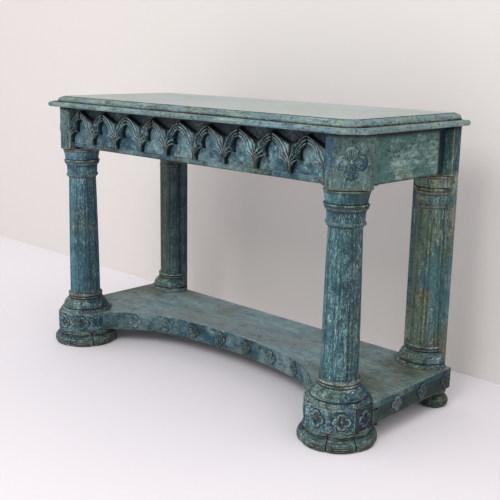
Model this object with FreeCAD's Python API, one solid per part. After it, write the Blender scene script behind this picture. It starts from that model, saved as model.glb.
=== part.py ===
"""Gothic Revival pier table: painted wood, two free columns in front, two half columns behind,
a cusped arcade along the frieze and a low platform with a hollowed front edge.

Millimetres. X runs to the viewer's right, Y to the back, Z up. The origin is on the floor in the
middle of the table's footprint. Every piece of wood is its own solid and its own STEP file.
"""
import FreeCAD, Part
import math
import os

os.makedirs("parts", exist_ok=True)

# ---- overall ---------------------------------------------------------------------------
table_height = 900.0          # floor to the top surface
column_spacing = 1198.0       # between the axes of the two front columns
column_to_back = 446.0        # front column axis to the flat back of the table
rear_axis_inset = 9.0         # rear column axis to the flat back

# ---- levels above the floor ------------------------------------------------------------
platform_underside = 54.0
platform_top = 120.0
base_top = 187.0              # top of the turned column base
capital_bottom = 614.0
capital_top = 717.0
frieze_bottom = 726.0

# ---- top -------------------------------------------------------------------------------
top_board_thickness = 19.0
lip_thickness = 16.0
lip_overhang_front = 101.0    # lip edge in front of the column axis
lip_overhang_side = 99.0      # lip edge outside the column axis
lip_cant = 49.0               # how much of each front corner is cut off at 45 degrees
lip_projection = 30.0         # lip edge beyond the foot of the ovolo
lip_width = 62.0              # width of the pieces that make the lip
ovolo_width = 22.0
quirk_height = 3.0            # upright fillet under the ovolo

# ---- frieze ----------------------------------------------------------------------------
block_half_depth = 80.0       # column axis to the flat front and side of a corner block
block_flat = 24.0             # width of those narrow front and side faces
arcade_face = 68.0            # column axis to the face of the arch ribs
rib_height = 6.0
tracery_thickness = 14.0
board_thickness = 22.0
band_height = 17.0            # plain band under the arcade
band_step = 4.0               # band in front of the frieze board
apron_face = 65.0             # column axis out to the face of the side apron
apron_stop = 106.0            # flat back to the rear end of the side apron
rail_thickness = 22.0
bearer_width = 34.0
bearer_depth = 46.0
bearer_offset = 200.0         # from the middle of the table to each cross bearer
glue_block = 30.0
glue_block_length = 70.0
end_clearance = 0.2           # left at each end of a piece cut to fit between two others

# ---- arcade ----------------------------------------------------------------------------
bay_count = 9
stem_width = 9.0              # upright between two arches where they meet the band
rib_set_back = 2.5            # rib set back from the edge of the opening
foil_spring = 7.0             # upright part of a stem above the band
lower_foil_radius = 31.25
upper_foil_radius = 31.0
upper_foil_offset = 3.0       # upper foil centre beyond the middle of the bay
upper_foil_height = 54.0      # upper foil centre above the band
hood_radius = 48.0
hood_height = 47.0            # hood centre above the band
hood_rise = 108.0             # tip of the arch above the band
web_rise = 79.0               # top of the web between two arches above the band

# ---- quatrefoils -----------------------------------------------------------------------
carving_relief = 4.0
carving_rib = 5.0
lobe_share = 0.27             # radius of a lobe over the width of the whole quatrefoil
lobe_sides = 8                # short flats that a lobe is cut in
block_carving_size = 84.0
edge_carving_size = 48.0
edge_carving_pitch = 124.6
edge_carving_count = 8
side_carving_pitch = 130.0
side_carving_first = 32.5     # flat back to the rearmost side carving
side_carving_count = 3

# ---- columns ---------------------------------------------------------------------------
shaft_apothem_top = 45.5
shaft_apothem_bottom = 52.0
capital_apothem = 63.5
capital_neck_apothem = 57.0
capital_bell_height = 48.0    # top of the capital down to its main bead
capital_neck_height = 12.0    # main bead down to the neck
lower_ring_height = 9.0       # foot of the capital up to its lower bead
ring_apothem = 61.5
lower_ring_apothem = 54.0
base_band_apothem = 90.0      # eight-sided band at the foot of the base
base_band_height = 13.0
cushion_radius = 79.0
cushion_top_radius = 61.0
cushion_height = 33.0
base_ring_height = 7.0
astragal_radius = 62.5
tenon_width = 30.0            # square tenons at both ends of a front shaft
tenon_clearance = 0.2
tenon_depth = 22.0            # how far a tenon reaches into the block and the plinth
pilaster_half_width = 71.5
pilaster_thickness = 20.0
rear_block_depth = 41.0

# ---- platform --------------------------------------------------------------------------
platform_overhang = 93.0      # column axis out to the platform's side
platform_board_thickness = 20.0
bay_depth = 182.0             # column axis back to the middle of the hollowed front edge
middle_arc_radius = 1420.0
middle_arc_half_width = 250.0
end_arc_radius = 420.0
plinth_apothem = 94.5
plinth_underside = 52.0

# ---- feet ------------------------------------------------------------------------------
foot_radius = 114.0
foot_neck_radius = 98.0
back_foot_radius = 47.0
back_foot_neck_radius = 34.0
back_foot_offset_x = 58.0     # column axis out to the back foot axis
back_foot_inset_y = 37.0      # flat back to the back foot axis
foot_collar_height = 9.0      # plain round part above the lobes
foot_groove_depth = 7.0
back_foot_groove_depth = 4.0

# ---- worked out from the sizes above ---------------------------------------------------
axis_x = column_spacing / 2
foot_behind_back = back_foot_radius - back_foot_inset_y
axis_y = (foot_radius - column_to_back - foot_behind_back) / 2
back_y = axis_y + column_to_back
rear_axis_y = back_y - rear_axis_inset
board_underside = table_height - top_board_thickness
lip_underside = board_underside - lip_thickness
arcade_bottom = frieze_bottom + band_height
frieze_back_of_ribs = axis_y - arcade_face + rib_height
board_front_y = frieze_back_of_ribs + tracery_thickness
rib_end = block_half_depth - arcade_face + block_flat / 2
bay_pitch = (column_spacing - 2 * rib_end) / bay_count
half_bay = bay_pitch / 2
rail_height = platform_top - platform_board_thickness - platform_underside
pilaster_front_y = back_y - pilaster_thickness
rear_block_front_y = back_y - rear_block_depth
middle_centre_y = axis_y + bay_depth - middle_arc_radius
arc_joint_turn = math.asin(middle_arc_half_width / middle_arc_radius)
arc_centre_step = middle_arc_radius - end_arc_radius
end_centre_x = arc_centre_step * math.sin(arc_joint_turn)
end_centre_y = middle_centre_y + arc_centre_step * math.cos(arc_joint_turn)
far = 4 * column_spacing      # longer than anything, for cutting tools

Z_AXIS = FreeCAD.Vector(0, 0, 1)
SIDES = (("left", -1), ("right", 1))


def vec(x, y, z=0.0):
    """Shorthand for a FreeCAD vector."""
    return FreeCAD.Vector(x, y, z)


def save(name, shape):
    """Clean a finished piece and write it as parts/NAME.step."""
    shape = shape.removeSplitter()
    if not shape.isValid() or shape.Volume <= 0:
        raise RuntimeError("bad solid: " + name)
    shape.exportStep("parts/" + name + ".step")


def box(x0, x1, y0, y1, z0, z1):
    """A block between two corners."""
    return Part.makeBox(x1 - x0, y1 - y0, z1 - z0, vec(x0, y0, z0))


def mirror_x(shape):
    """The left-hand twin of a right-hand piece, or the other half of an even one."""
    return shape.mirror(vec(0, 0, 0), vec(1, 0, 0))


def prism(points, z0, z1):
    """An upright prism on a plan outline of corner points."""
    corners = [vec(x, y, z0) for x, y in points]
    return Part.Face(Part.makePolygon(corners + corners[:1])).extrude(vec(0, 0, z1 - z0))


def profile_wire(start, steps):
    """A closed wire in the XZ plane. A step is (end,) for a line or (middle, end) for an arc."""
    edges = []
    here = start
    for step in steps:
        points = [vec(p[0], 0, p[1]) for p in (here,) + step]
        edges.append(Part.LineSegment(*points) if len(points) == 2 else Part.Arc(*points))
        here = step[-1]
    return Part.Wire([edge.toShape() for edge in edges])


def faceted(start, steps, x, y, sides=8):
    """A moulded piece with flat sides: bars of one mirrored profile, crossed at even angles."""
    half = Part.Face(profile_wire(start, steps + [(start,)])).extrude(vec(0, far, 0))
    whole = half.fuse(mirror_x(half)).removeSplitter()
    whole.translate(vec(0, -far / 2, 0))
    piece = whole
    for k in range(1, sides // 2):
        bar = whole.copy()
        bar.rotate(vec(0, 0, 0), Z_AXIS, k * 360 / sides)
        piece = piece.common(bar)
    piece.translate(vec(x, y, 0))
    return piece


def octagon_points(apothem, x, y):
    """Corners of a regular octagon with flat faces to the front and the sides."""
    reach = apothem / math.cos(math.pi / 8)
    angles = [math.pi / 8 + k * math.pi / 4 for k in range(8)]
    return [(x + reach * math.cos(a), y + reach * math.sin(a)) for a in angles]


def canted_points(half_depth, flat, x, y):
    """Corners of a square with its corners cut off, so that each flat face is this wide."""
    f = flat / 2
    h = half_depth
    shape = [(f, -h), (h, -f), (h, f), (f, h), (-f, h), (-h, f), (-h, -f), (-f, -h)]
    return [(x + px, y + py) for px, py in shape]


# ---- top -------------------------------------------------------------------------------
def top_edges(inset):
    """The five moulded edges of the top as (outward angle, distance from the front column level).

    Each edge is a line; the inset moves all of them inwards together.
    """
    side = axis_x + lip_overhang_side
    front = lip_overhang_front - axis_y
    corner = (side + front - lip_cant) / math.sqrt(2)
    edges = [(0, side), (-45, corner), (-90, front), (-135, corner), (180, side)]
    return [(angle, distance - inset) for angle, distance in edges]


def moulded_slab(section, z0, z1, inset):
    """A slab with one edge section on the front, canted corners and sides, and a square back.

    The section lists profile steps from the top down, measured outwards from each edge line.
    """
    slab = box(-far / 4, far / 4, -far / 4, back_y, z0, z1)
    start, steps = section
    for angle, distance in top_edges(inset):
        outline = profile_wire(start, steps + [((-far / 2, z0),), ((-far / 2, z1),), (start,)])
        bar = Part.Face(outline).extrude(vec(0, far, 0))
        bar.translate(vec(distance, -far / 2, 0))
        bar.rotate(vec(0, 0, 0), Z_AXIS, angle)
        slab = slab.common(bar)
    return slab


def make_top_board():
    """The top board, with an ovolo and a small upright fillet worked on its edge."""
    low = board_underside
    shoulder = low + quirk_height
    rise = table_height - shoulder
    middle = (-ovolo_width * (1 - math.sin(math.pi / 4)), shoulder + rise * math.sin(math.pi / 4))
    start = (-ovolo_width, table_height)
    steps = [(middle, (0, shoulder)), ((0, low),)]
    save("top_board", moulded_slab((start, steps), low, table_height, lip_projection))


def lip_section():
    """The lip's rounded nose, from its top arris round to its underside."""
    nose = lip_thickness / 2
    top = (-nose, board_underside)
    tip = (0, lip_underside + nose)
    bottom = (-nose, lip_underside)
    return top, [(tip, bottom)]


def plan_corners(inset):
    """Plan corners of the top's outline at an inset, from the left back round the front."""
    side = axis_x + lip_overhang_side - inset
    front = axis_y - lip_overhang_front + inset
    cant = lip_cant - inset * (2 - math.sqrt(2))
    right = [(side - cant, front), (side, front + cant), (side, back_y)]
    left = [(-x, y) for x, y in reversed(right)]
    return left + right


def make_lip():
    """The lip under the top board: five mitred pieces, open at the flat back."""
    whole = moulded_slab(lip_section(), lip_underside, board_underside, 0.0)
    outer = plan_corners(-lip_projection)
    inner = plan_corners(lip_width)
    names = ["lip_left", "lip_corner_left", "lip_front", "lip_corner_right", "lip_right"]
    for k, name in enumerate(names):
        sector = [outer[k], outer[k + 1], inner[k + 1], inner[k]]
        save(name, whole.common(prism(sector, lip_underside, board_underside)))


# ---- frieze ----------------------------------------------------------------------------
def four_lobes(size, radius):
    """A four-lobed plane face in XZ, this wide and high over all, its lobes cut in short flats."""
    reach = size / 2 - radius
    cusp = (reach + math.sqrt(2 * radius ** 2 - reach ** 2)) / 2
    swing = math.atan2(cusp, cusp - reach)
    corners = []
    for quarter in range(4):
        axis = quarter * math.pi / 2
        for k in range(lobe_sides):
            turn = axis + swing * (2 * k / lobe_sides - 1)
            x = reach * math.cos(axis) + radius * math.cos(turn)
            z = reach * math.sin(axis) + radius * math.sin(turn)
            corners.append(vec(x, 0, z))
    return Part.Face(Part.makePolygon(corners + corners[:1]))


def quatrefoil(size, rib=0.0):
    """A raised quatrefoil with its back on y = 0; with a rib width it is an open ring."""
    radius = size * lobe_share
    face = four_lobes(size, radius)
    if rib:
        face = face.cut(four_lobes(size - 2 * rib, radius - rib))
    return face.extrude(vec(0, -carving_relief, 0))


def on_face(shape, distance, angle, x, y, z):
    """Place a carving made at the origin on a face that looks along the given plan angle."""
    placed = shape.copy()
    placed.translate(vec(0, -distance, z))
    placed.rotate(vec(0, 0, 0), Z_AXIS, angle + 90)
    placed.translate(vec(x, y, 0))
    return placed


def block_blank(side):
    """The plain canted corner block over a front column; side is -1 or 1."""
    corners = canted_points(block_half_depth, block_flat, side * axis_x, axis_y)
    return prism(corners, capital_top, lip_underside)


def tenon(side, grow, z0, z1):
    """A square upright tenon on a front column's axis, or its mortise where grow is the clearance."""
    half = tenon_width / 2 + grow
    x = side * axis_x
    return box(x - half, x + half, axis_y - half, axis_y + half, z0, z1)


def make_corner_blocks():
    """Corner blocks with a mortise for the tenon, and the quatrefoil on each outer canted face."""
    distance = (block_half_depth + block_flat / 2) / math.sqrt(2)
    middle = (frieze_bottom + lip_underside) / 2
    ring = quatrefoil(block_carving_size, carving_rib)
    carvings = []
    for name, side in SIDES:
        mortise = tenon(side, tenon_clearance, capital_top, capital_top + tenon_depth + end_clearance)
        save("corner_block_" + name, block_blank(side).cut(mortise))
        carvings.append(on_face(ring, distance, -90 + side * 45, side * axis_x, axis_y, middle))
    Part.makeCompound(carvings).exportStep("parts/block_carvings.step")


def trimmed(shape):
    """Cut a piece that runs between the two corner blocks to fit against them."""
    for _, side in SIDES:
        shape = shape.cut(block_blank(side))
    return shape


def make_frieze_boards():
    """The board behind the arcade and the plain band below it."""
    reach = axis_x
    board = box(-reach, reach, board_front_y, board_front_y + board_thickness, frieze_bottom, lip_underside)
    save("frieze_board", trimmed(board))
    band = box(-reach, reach, board_front_y - band_step, board_front_y, frieze_bottom, arcade_bottom)
    save("frieze_band", trimmed(band))


def cusp_point(grow):
    """Where the lower and the upper foil meet, with both foils' radii grown by this much."""
    x1, z1 = lower_foil_centre()
    x2, z2 = -upper_foil_offset, upper_foil_height
    r1 = lower_foil_radius + grow
    r2 = upper_foil_radius + grow
    gap = math.hypot(x2 - x1, z2 - z1)
    along = (gap * gap + r1 * r1 - r2 * r2) / (2 * gap)
    across = math.sqrt(r1 * r1 - along * along)
    ux, uz = (x2 - x1) / gap, (z2 - z1) / gap
    return x1 + along * ux + across * uz, z1 + along * uz - across * ux


def lower_foil_centre():
    """Centre of the right-hand lower foil, from the middle of the bay at the band."""
    return half_bay - stem_width / 2 - lower_foil_radius, foil_spring


def arc_middle(centre, start, end):
    """The point halfway along the short arc about a centre from start to end."""
    a0 = math.atan2(start[1] - centre[1], start[0] - centre[0])
    a1 = math.atan2(end[1] - centre[1], end[0] - centre[0])
    turn = math.remainder(a1 - a0, 2 * math.pi)
    radius = math.dist(centre, start)
    return centre[0] + radius * math.cos(a0 + turn / 2), centre[1] + radius * math.sin(a0 + turn / 2)


def cusped_opening(grow):
    """Face of one cusped opening, about the middle of its bay; grow widens it evenly."""
    centre = lower_foil_centre()
    stem = centre[0] + lower_foil_radius + grow
    cusp = cusp_point(grow)
    head = (-upper_foil_offset, upper_foil_height)
    apex = (0, upper_foil_height + math.sqrt((upper_foil_radius + grow) ** 2 - upper_foil_offset ** 2))
    spring = (stem, foil_spring)
    right = [(stem, 0), spring, arc_middle(centre, spring, cusp), cusp, arc_middle(head, cusp, apex), apex]
    left = [(-x, z) for x, z in reversed(right[:-1])]
    steps = [(right[1],), (right[2], right[3]), (right[4], right[5]),
             (left[0], left[1]), (left[2], left[3]), (left[4],), (right[0],)]
    return Part.Face(profile_wire(right[0], steps))


def hood(shrink):
    """Face of the pointed hood of one bay: upright sides, round shoulders, straight to the tip."""
    centre = (half_bay - hood_radius, hood_height)
    radius = hood_radius - shrink
    tip = (0, hood_rise - shrink * 1.5)
    lean = math.atan2(tip[1] - centre[1], tip[0] - centre[0])
    turn = lean - math.acos(radius / math.dist(tip, centre))
    side = half_bay - shrink
    shoulder = (centre[0] + radius * math.cos(turn), centre[1] + radius * math.sin(turn))
    haunch = (side, hood_height)
    bend = arc_middle(centre, haunch, shoulder)
    steps = [(haunch,), (bend, shoulder), (tip,), ((-shoulder[0], shoulder[1]),),
             ((-bend[0], bend[1]), (-haunch[0], haunch[1])), ((-side, 0),), ((side, 0),)]
    return Part.Face(profile_wire((side, 0), steps))


def tracery_bay():
    """One bay of the arcade, its back on y = 0: a pierced web, and the arch rib that stands on it."""
    web = hood(0).extrude(vec(0, -tracery_thickness, 0))
    web = web.fuse(box(-half_bay, half_bay, -tracery_thickness, 0, 0, web_rise))
    web = web.cut(cusped_opening(0).extrude(vec(0, -2 * tracery_thickness, 0)))
    rib = hood(0).cut(cusped_opening(rib_set_back)).extrude(vec(0, -tracery_thickness - rib_height, 0))
    return web.fuse(rib)


def make_arcade():
    """The carved strip of nine cusped arches in front of the frieze board."""
    bay = tracery_bay()
    bays = []
    for k in range(bay_count):
        copy = bay.copy()
        copy.translate(vec((k - (bay_count - 1) / 2) * bay_pitch, board_front_y, arcade_bottom))
        bays.append(copy)
    save("tracery_strip", trimmed(bays[0].fuse(bays[1:])))


def make_frieze_sides():
    """Side aprons, the side rails behind them, and the rear blocks over the half columns."""
    outer = axis_x + apron_face
    inner = outer - board_thickness
    apron = box(inner, outer, axis_y, back_y - apron_stop, frieze_bottom, lip_underside)
    rail = box(inner - rail_thickness, inner, axis_y, rear_block_front_y, frieze_bottom, lip_underside)
    rear = box(axis_x - pilaster_half_width, axis_x + pilaster_half_width,
               rear_block_front_y, back_y, capital_top, lip_underside)
    apron = apron.cut(block_blank(1))
    rail = rail.cut(block_blank(1))
    for shape, name in ((apron, "side_apron_"), (rail, "side_rail_"), (rear, "rear_block_")):
        save(name + "right", shape)
        save(name + "left", mirror_x(shape))


def make_frieze_inside():
    """Back rail, cross bearers under the top board, and glue blocks in the angles."""
    reach = axis_x - pilaster_half_width - end_clearance
    rail_front = back_y - board_thickness
    save("back_rail", box(-reach, reach, rail_front, back_y, frieze_bottom, board_underside))
    front = board_front_y + board_thickness
    for name, side in SIDES:
        x = side * bearer_offset
        bearer = box(x - bearer_width / 2, x + bearer_width / 2, front, rail_front,
                     board_underside - bearer_depth, board_underside)
        save("top_bearer_" + name, bearer)
    length = glue_block_length
    rail_inside = axis_x + apron_face - board_thickness - rail_thickness
    low = board_underside - glue_block
    outer_bay = (bearer_offset + axis_x - block_half_depth) / 2
    blocks = []
    for x in (-outer_bay, 0, outer_bay):
        for y in (front, rail_front - glue_block):
            blocks.append(box(x - length / 2, x + length / 2, y, y + glue_block, low, board_underside))
    near = (axis_y + rear_block_front_y - length) / 2
    for x in (rail_inside - glue_block, -rail_inside):
        blocks.append(box(x, x + glue_block, near, near + length, low, board_underside))
    Part.makeCompound(blocks).exportStep("parts/glue_blocks.step")


# ---- columns ---------------------------------------------------------------------------
def capital(x, y):
    """Eight-sided capital: flared bell, a bead, a neck and a lower bead."""
    top = capital_top
    gap = 4.0                 # fillet above the bell
    ring = top - capital_bell_height
    neck = ring - capital_neck_height
    low_ring = capital_bottom + lower_ring_height
    steps = [((capital_apothem - gap, top),), ((capital_apothem - gap, top - gap),),
             ((capital_apothem, top - gap),), ((capital_apothem, top - 2 * gap),),
             ((capital_neck_apothem, ring + 6.0),), ((ring_apothem, ring + 6.0),),
             ((ring_apothem + 1.5, ring + 1.0), (ring_apothem, ring - 4.0)),
             ((capital_neck_apothem - 2.0, ring - 5.0),), ((capital_neck_apothem - 4.0, neck),),
             ((lower_ring_apothem - 2.5, low_ring + 4.0),), ((lower_ring_apothem - 1.0, low_ring + 4.0),),
             ((lower_ring_apothem, low_ring), (lower_ring_apothem - 1.0, low_ring - 4.0)),
             ((shaft_apothem_top + 1.0, capital_bottom),), ((0, capital_bottom),)]
    return faceted((0, top), steps, x, y)


def shaft(x, y):
    """Eight-sided shaft that tapers upwards."""
    ends = []
    for apothem, z in ((shaft_apothem_bottom, base_top), (shaft_apothem_top, capital_bottom)):
        corners = [vec(px, py, z) for px, py in octagon_points(apothem, x, y)]
        ends.append(Part.makePolygon(corners + corners[:1]))
    return Part.makeLoft(ends, True, True)


def column_base(x, y):
    """Base: an eight-sided sloping band, then a near-round cushion, ring, groove and astragal."""
    z0 = platform_top
    z1 = z0 + base_band_height
    z2 = z1 + cushion_height
    z3 = z2 + base_ring_height
    slope = 7.0
    band = faceted((0, z0), [((base_band_apothem, z0),), ((base_band_apothem, z0 + slope),),
                             ((cushion_radius + 1.0, z1),), ((0, z1),)], x, y)
    groove = 2.0
    bead = (base_top - z3 - groove) / 3
    swell = (cushion_radius - 5.0, z1 + cushion_height / 2)
    steps = [((cushion_radius, z1),), (swell, (cushion_top_radius, z2)), ((cushion_top_radius, z3),),
             ((cushion_top_radius - 3.0, z3 + groove),), ((astragal_radius, z3 + groove + bead),),
             ((astragal_radius, base_top - bead),), ((astragal_radius - bead, base_top),), ((0, base_top),)]
    return band.fuse(faceted((0, z1), steps, x, y, 16))


def make_columns():
    """Two whole columns in front with tenons, two half columns against the pilasters."""
    tenon_low = platform_top - tenon_depth
    tenon_high = capital_top + tenon_depth
    for name, side in SIDES:
        x = side * axis_x
        mortise = tenon(side, tenon_clearance, 0, table_height)
        save("front_capital_" + name, capital(x, axis_y).cut(mortise))
        save("front_shaft_" + name, shaft(x, axis_y).fuse(tenon(side, 0, tenon_low, tenon_high)))
        save("front_base_" + name, column_base(x, axis_y).cut(mortise))
        keep = box(x - far / 4, x + far / 4, -far / 4, pilaster_front_y, 0, table_height)
        save("rear_capital_" + name, capital(x, rear_axis_y).common(keep))
        save("rear_shaft_" + name, shaft(x, rear_axis_y).common(keep))
        save("rear_base_" + name, column_base(x, rear_axis_y).common(keep))
        pilaster = box(x - pilaster_half_width, x + pilaster_half_width, pilaster_front_y, back_y,
                       platform_top, capital_top)
        save("pilaster_" + name, pilaster)


# ---- platform --------------------------------------------------------------------------
def front_curve(offset):
    """Edges of the hollowed front edge, left to right, moved back by an offset.

    A flat middle arc runs into a tighter arc at each end, tangent to it.
    """
    last_turn = math.asin((axis_x - plinth_apothem / 2 - end_centre_x) / end_arc_radius)

    def middle_spot(turn):
        reach = middle_arc_radius + offset
        return vec(reach * math.sin(turn), middle_centre_y + reach * math.cos(turn))

    def end_spot(turn):
        reach = end_arc_radius + offset
        return vec(end_centre_x + reach * math.sin(turn), end_centre_y + reach * math.cos(turn))

    joint = middle_spot(arc_joint_turn)
    half = end_spot((arc_joint_turn + last_turn) / 2)
    end = end_spot(last_turn)
    crown = middle_spot(0)
    left_joint, left_half, left_end = [vec(-p.x, p.y) for p in (joint, half, end)]
    return [Part.Arc(left_end, left_half, left_joint), Part.Arc(left_joint, crown, joint),
            Part.Arc(joint, half, end)]


def plinth_blank(side):
    """The plain eight-sided plinth under a front column."""
    return prism(octagon_points(plinth_apothem, side * axis_x, axis_y), plinth_underside, platform_top)


def between_plinths(shape):
    """Cut a platform piece to fit against both plinths."""
    for _, side in SIDES:
        shape = shape.cut(plinth_blank(side))
    return max(shape.Solids, key=lambda solid: solid.Volume)


def swept_region(curve, closing, z0, z1):
    """A flat piece between a curved front edge and a list of plan points behind it."""
    edges = [arc.toShape() for arc in curve]
    points = [curve[-1].EndPoint] + [vec(x, y) for x, y in closing] + [curve[0].StartPoint]
    edges += [Part.LineSegment(a, b).toShape() for a, b in zip(points, points[1:])]
    solid = Part.Face(Part.Wire(edges)).extrude(vec(0, 0, z1 - z0))
    solid.translate(vec(0, 0, z0))
    return solid


def make_platform():
    """Platform board on a curved front rail, two side rails and a back rail."""
    side = axis_x + platform_overhang
    under = platform_top - platform_board_thickness
    corners = [(side, axis_y), (side, back_y), (-side, back_y), (-side, axis_y)]
    board = between_plinths(swept_region(front_curve(0.0), corners, under, platform_top))
    save("platform_board", board)
    front = front_rail_blank()
    save("platform_front_rail", front)
    rail_front = back_y - rail_thickness
    save("platform_back_rail", box(-side, side, rail_front, back_y, platform_underside, under))
    rail = box(side - rail_thickness, side, axis_y, rail_front, platform_underside, under)
    rail = rail.cut(plinth_blank(1))
    save("platform_side_rail_right", rail)
    save("platform_side_rail_left", mirror_x(rail))
    start = axis_y + bay_depth + rail_thickness + end_clearance
    bearer = box(-bearer_width / 2, bearer_width / 2, start, rail_front, under - bearer_depth, under)
    save("platform_bearer", bearer)


def front_rail_blank():
    """The curved front rail, cut to the plinths."""
    outer = front_curve(0.0)
    inner = front_curve(rail_thickness)
    edges = [arc.toShape() for arc in outer + inner]
    edges.append(Part.LineSegment(outer[-1].EndPoint, inner[-1].EndPoint).toShape())
    edges.append(Part.LineSegment(outer[0].StartPoint, inner[0].StartPoint).toShape())
    wire = Part.Wire(Part.__sortEdges__(edges))
    rail = Part.Face(wire).extrude(vec(0, 0, rail_height))
    rail.translate(vec(0, 0, platform_underside))
    return between_plinths(rail)


def curve_place(distance):
    """Point and outward plan angle on the front edge, this far along it from the middle."""
    side = math.copysign(1, distance)
    length = abs(distance)
    middle_length = arc_joint_turn * middle_arc_radius
    if length <= middle_length:
        turn = length / middle_arc_radius
        x = middle_arc_radius * math.sin(turn)
        y = middle_centre_y + middle_arc_radius * math.cos(turn)
    else:
        turn = arc_joint_turn + (length - middle_length) / end_arc_radius
        x = end_centre_x + end_arc_radius * math.sin(turn)
        y = end_centre_y + end_arc_radius * math.cos(turn)
    return side * x, y, -90 - side * math.degrees(turn)


def make_edge_carvings():
    """The applied quatrefoils on the platform's front and side edges."""
    middle = (platform_underside + platform_top) / 2
    foil = quatrefoil(edge_carving_size)
    chord_rise = edge_carving_size ** 2 / 8 / end_arc_radius
    front = []
    for k in range(edge_carving_count):
        x, y, angle = curve_place((k - (edge_carving_count - 1) / 2) * edge_carving_pitch)
        front.append(on_face(foil, chord_rise, angle, x, y, middle))
    Part.makeCompound(front).exportStep("parts/front_edge_carvings.step")
    sides = []
    for k in range(side_carving_count):
        y = back_y - side_carving_first - k * side_carving_pitch
        for _, sign in SIDES:
            sides.append(on_face(foil, axis_x + platform_overhang, 90 - sign * 90, 0, y, middle))
    Part.makeCompound(sides).exportStep("parts/side_edge_carvings.step")


def make_plinths():
    """Eight-sided plinths with a mortise for the tenon above."""
    for name, side in SIDES:
        mortise = tenon(side, tenon_clearance, platform_top - tenon_depth - end_clearance, platform_top)
        save("plinth_" + name, plinth_blank(side).cut(mortise))


# ---- feet ------------------------------------------------------------------------------
def lobed_foot(steps, groove, x, y):
    """A near-round foot from a profile, with upright grooves that part it into eight lobes."""
    foot = faceted((0, 0), steps + [((0, steps[-1][-1][1]),)], 0, 0, 16)
    radius = max(point[0] for step in steps for point in step)
    low = steps[-1][-1][1] - foot_collar_height
    corners = [vec(radius - groove, 0), vec(radius + groove, -groove), vec(radius + groove, groove)]
    notch = Part.Face(Part.makePolygon(corners + corners[:1])).extrude(vec(0, 0, low))
    for k in range(8):
        cutter = notch.copy()
        cutter.rotate(vec(0, 0, 0), Z_AXIS, 22.5 + 45 * k)
        foot = foot.cut(cutter)
    foot.translate(vec(x, y, 0))
    return foot


def make_feet():
    """Two broad skirted feet under the plinths and two small bun feet at the back."""
    top = plinth_underside
    neck = top - foot_collar_height
    skirt = [((foot_radius - 2.0, 0),), ((foot_radius, 6.0),), ((foot_radius, 19.0),),
             ((foot_radius - 4.0, 26.0),), ((foot_neck_radius, 36.0),), ((foot_neck_radius - 3.0, neck),),
             ((foot_neck_radius, neck + 3.0),), ((foot_neck_radius, top),)]
    high = platform_underside
    bun = [((back_foot_radius - 9.0, 0),), ((back_foot_radius, 11.0),), ((back_foot_radius, 23.0),),
           ((back_foot_radius - 9.0, 34.0),), ((back_foot_neck_radius, 38.0),),
           ((back_foot_neck_radius, 43.0),), ((back_foot_neck_radius + 4.0, 46.0),),
           ((back_foot_neck_radius + 4.0, high),)]
    for name, side in SIDES:
        save("front_foot_" + name, lobed_foot(skirt, foot_groove_depth, side * axis_x, axis_y))
        x = side * (axis_x + back_foot_offset_x)
        save("back_foot_" + name, lobed_foot(bun, back_foot_groove_depth, x, back_y - back_foot_inset_y))


make_top_board()
make_lip()
make_corner_blocks()
make_frieze_boards()
make_arcade()
make_frieze_sides()
make_frieze_inside()
make_columns()
make_platform()
make_edge_carvings()
make_plinths()
make_feet()
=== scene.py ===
"""Painted Gothic Revival pier table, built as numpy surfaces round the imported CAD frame.

Plan sizes are worked out in millimetres and turned into metres when a mesh is made. X runs to the
right, Y to the back, Z up, and the origin is on the floor in the middle of the footprint.
"""
import math
import types

import bmesh
import bpy
import numpy as np
from bpy.props import FloatProperty, FloatVectorProperty, IntProperty, PointerProperty
from mathutils import Matrix, Vector


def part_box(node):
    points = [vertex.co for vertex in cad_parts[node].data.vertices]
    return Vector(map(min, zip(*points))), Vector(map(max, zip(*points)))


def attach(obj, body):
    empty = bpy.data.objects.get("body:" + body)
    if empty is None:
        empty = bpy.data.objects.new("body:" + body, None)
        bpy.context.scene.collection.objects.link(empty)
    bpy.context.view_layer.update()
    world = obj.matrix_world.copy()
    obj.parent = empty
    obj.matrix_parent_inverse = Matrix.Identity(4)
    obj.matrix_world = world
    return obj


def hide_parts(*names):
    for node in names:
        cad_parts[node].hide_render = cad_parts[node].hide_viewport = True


bl_info = {
    "name": "Gothic Pier Table",
    "version": (1, 0, 0),
    "blender": (4, 5, 0),
    "location": "View3D > Sidebar > Pier Table",
    "description": "Builds a painted pier table with a cusped arcade, octagonal columns and a low platform",
    "category": "Add Mesh",
}

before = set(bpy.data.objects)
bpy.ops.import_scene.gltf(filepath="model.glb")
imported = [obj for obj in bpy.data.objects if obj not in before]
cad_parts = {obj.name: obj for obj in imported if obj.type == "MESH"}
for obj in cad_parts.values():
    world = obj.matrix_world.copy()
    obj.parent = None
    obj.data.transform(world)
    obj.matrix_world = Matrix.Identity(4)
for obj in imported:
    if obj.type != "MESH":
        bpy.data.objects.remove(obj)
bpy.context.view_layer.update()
MM = 0.001
QUARTER = math.pi / 4       # half a right angle: the step between two faces of an eight-sided piece
SIDES = (("left", -1), ("right", 1))
MERGE = 2e-5                # points nearer than this are joined, in metres
SLIVER = 1e-6               # edges shorter than this are taken out, in metres
WEAR_ROUNDS = 7             # how many neighbours away the wear of an edge reaches


def lowest(node):
    """Lowest corner of a CAD node's box, in metres."""
    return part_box(node)[0]


def highest(node):
    """Highest corner of a CAD node's box, in metres."""
    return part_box(node)[1]


def box_middle(node):
    """Middle of a CAD node's box, in metres."""
    return (lowest(node) + highest(node)) / 2


def linear(code):
    """Linear colour of a hex colour code."""
    parts = np.array([int(code[k:k + 2], 16) for k in (1, 3, 5)]) / 255
    return tuple(np.where(parts <= 0.04045, parts / 12.92, ((parts + 0.055) / 1.055) ** 2.4))


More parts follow.
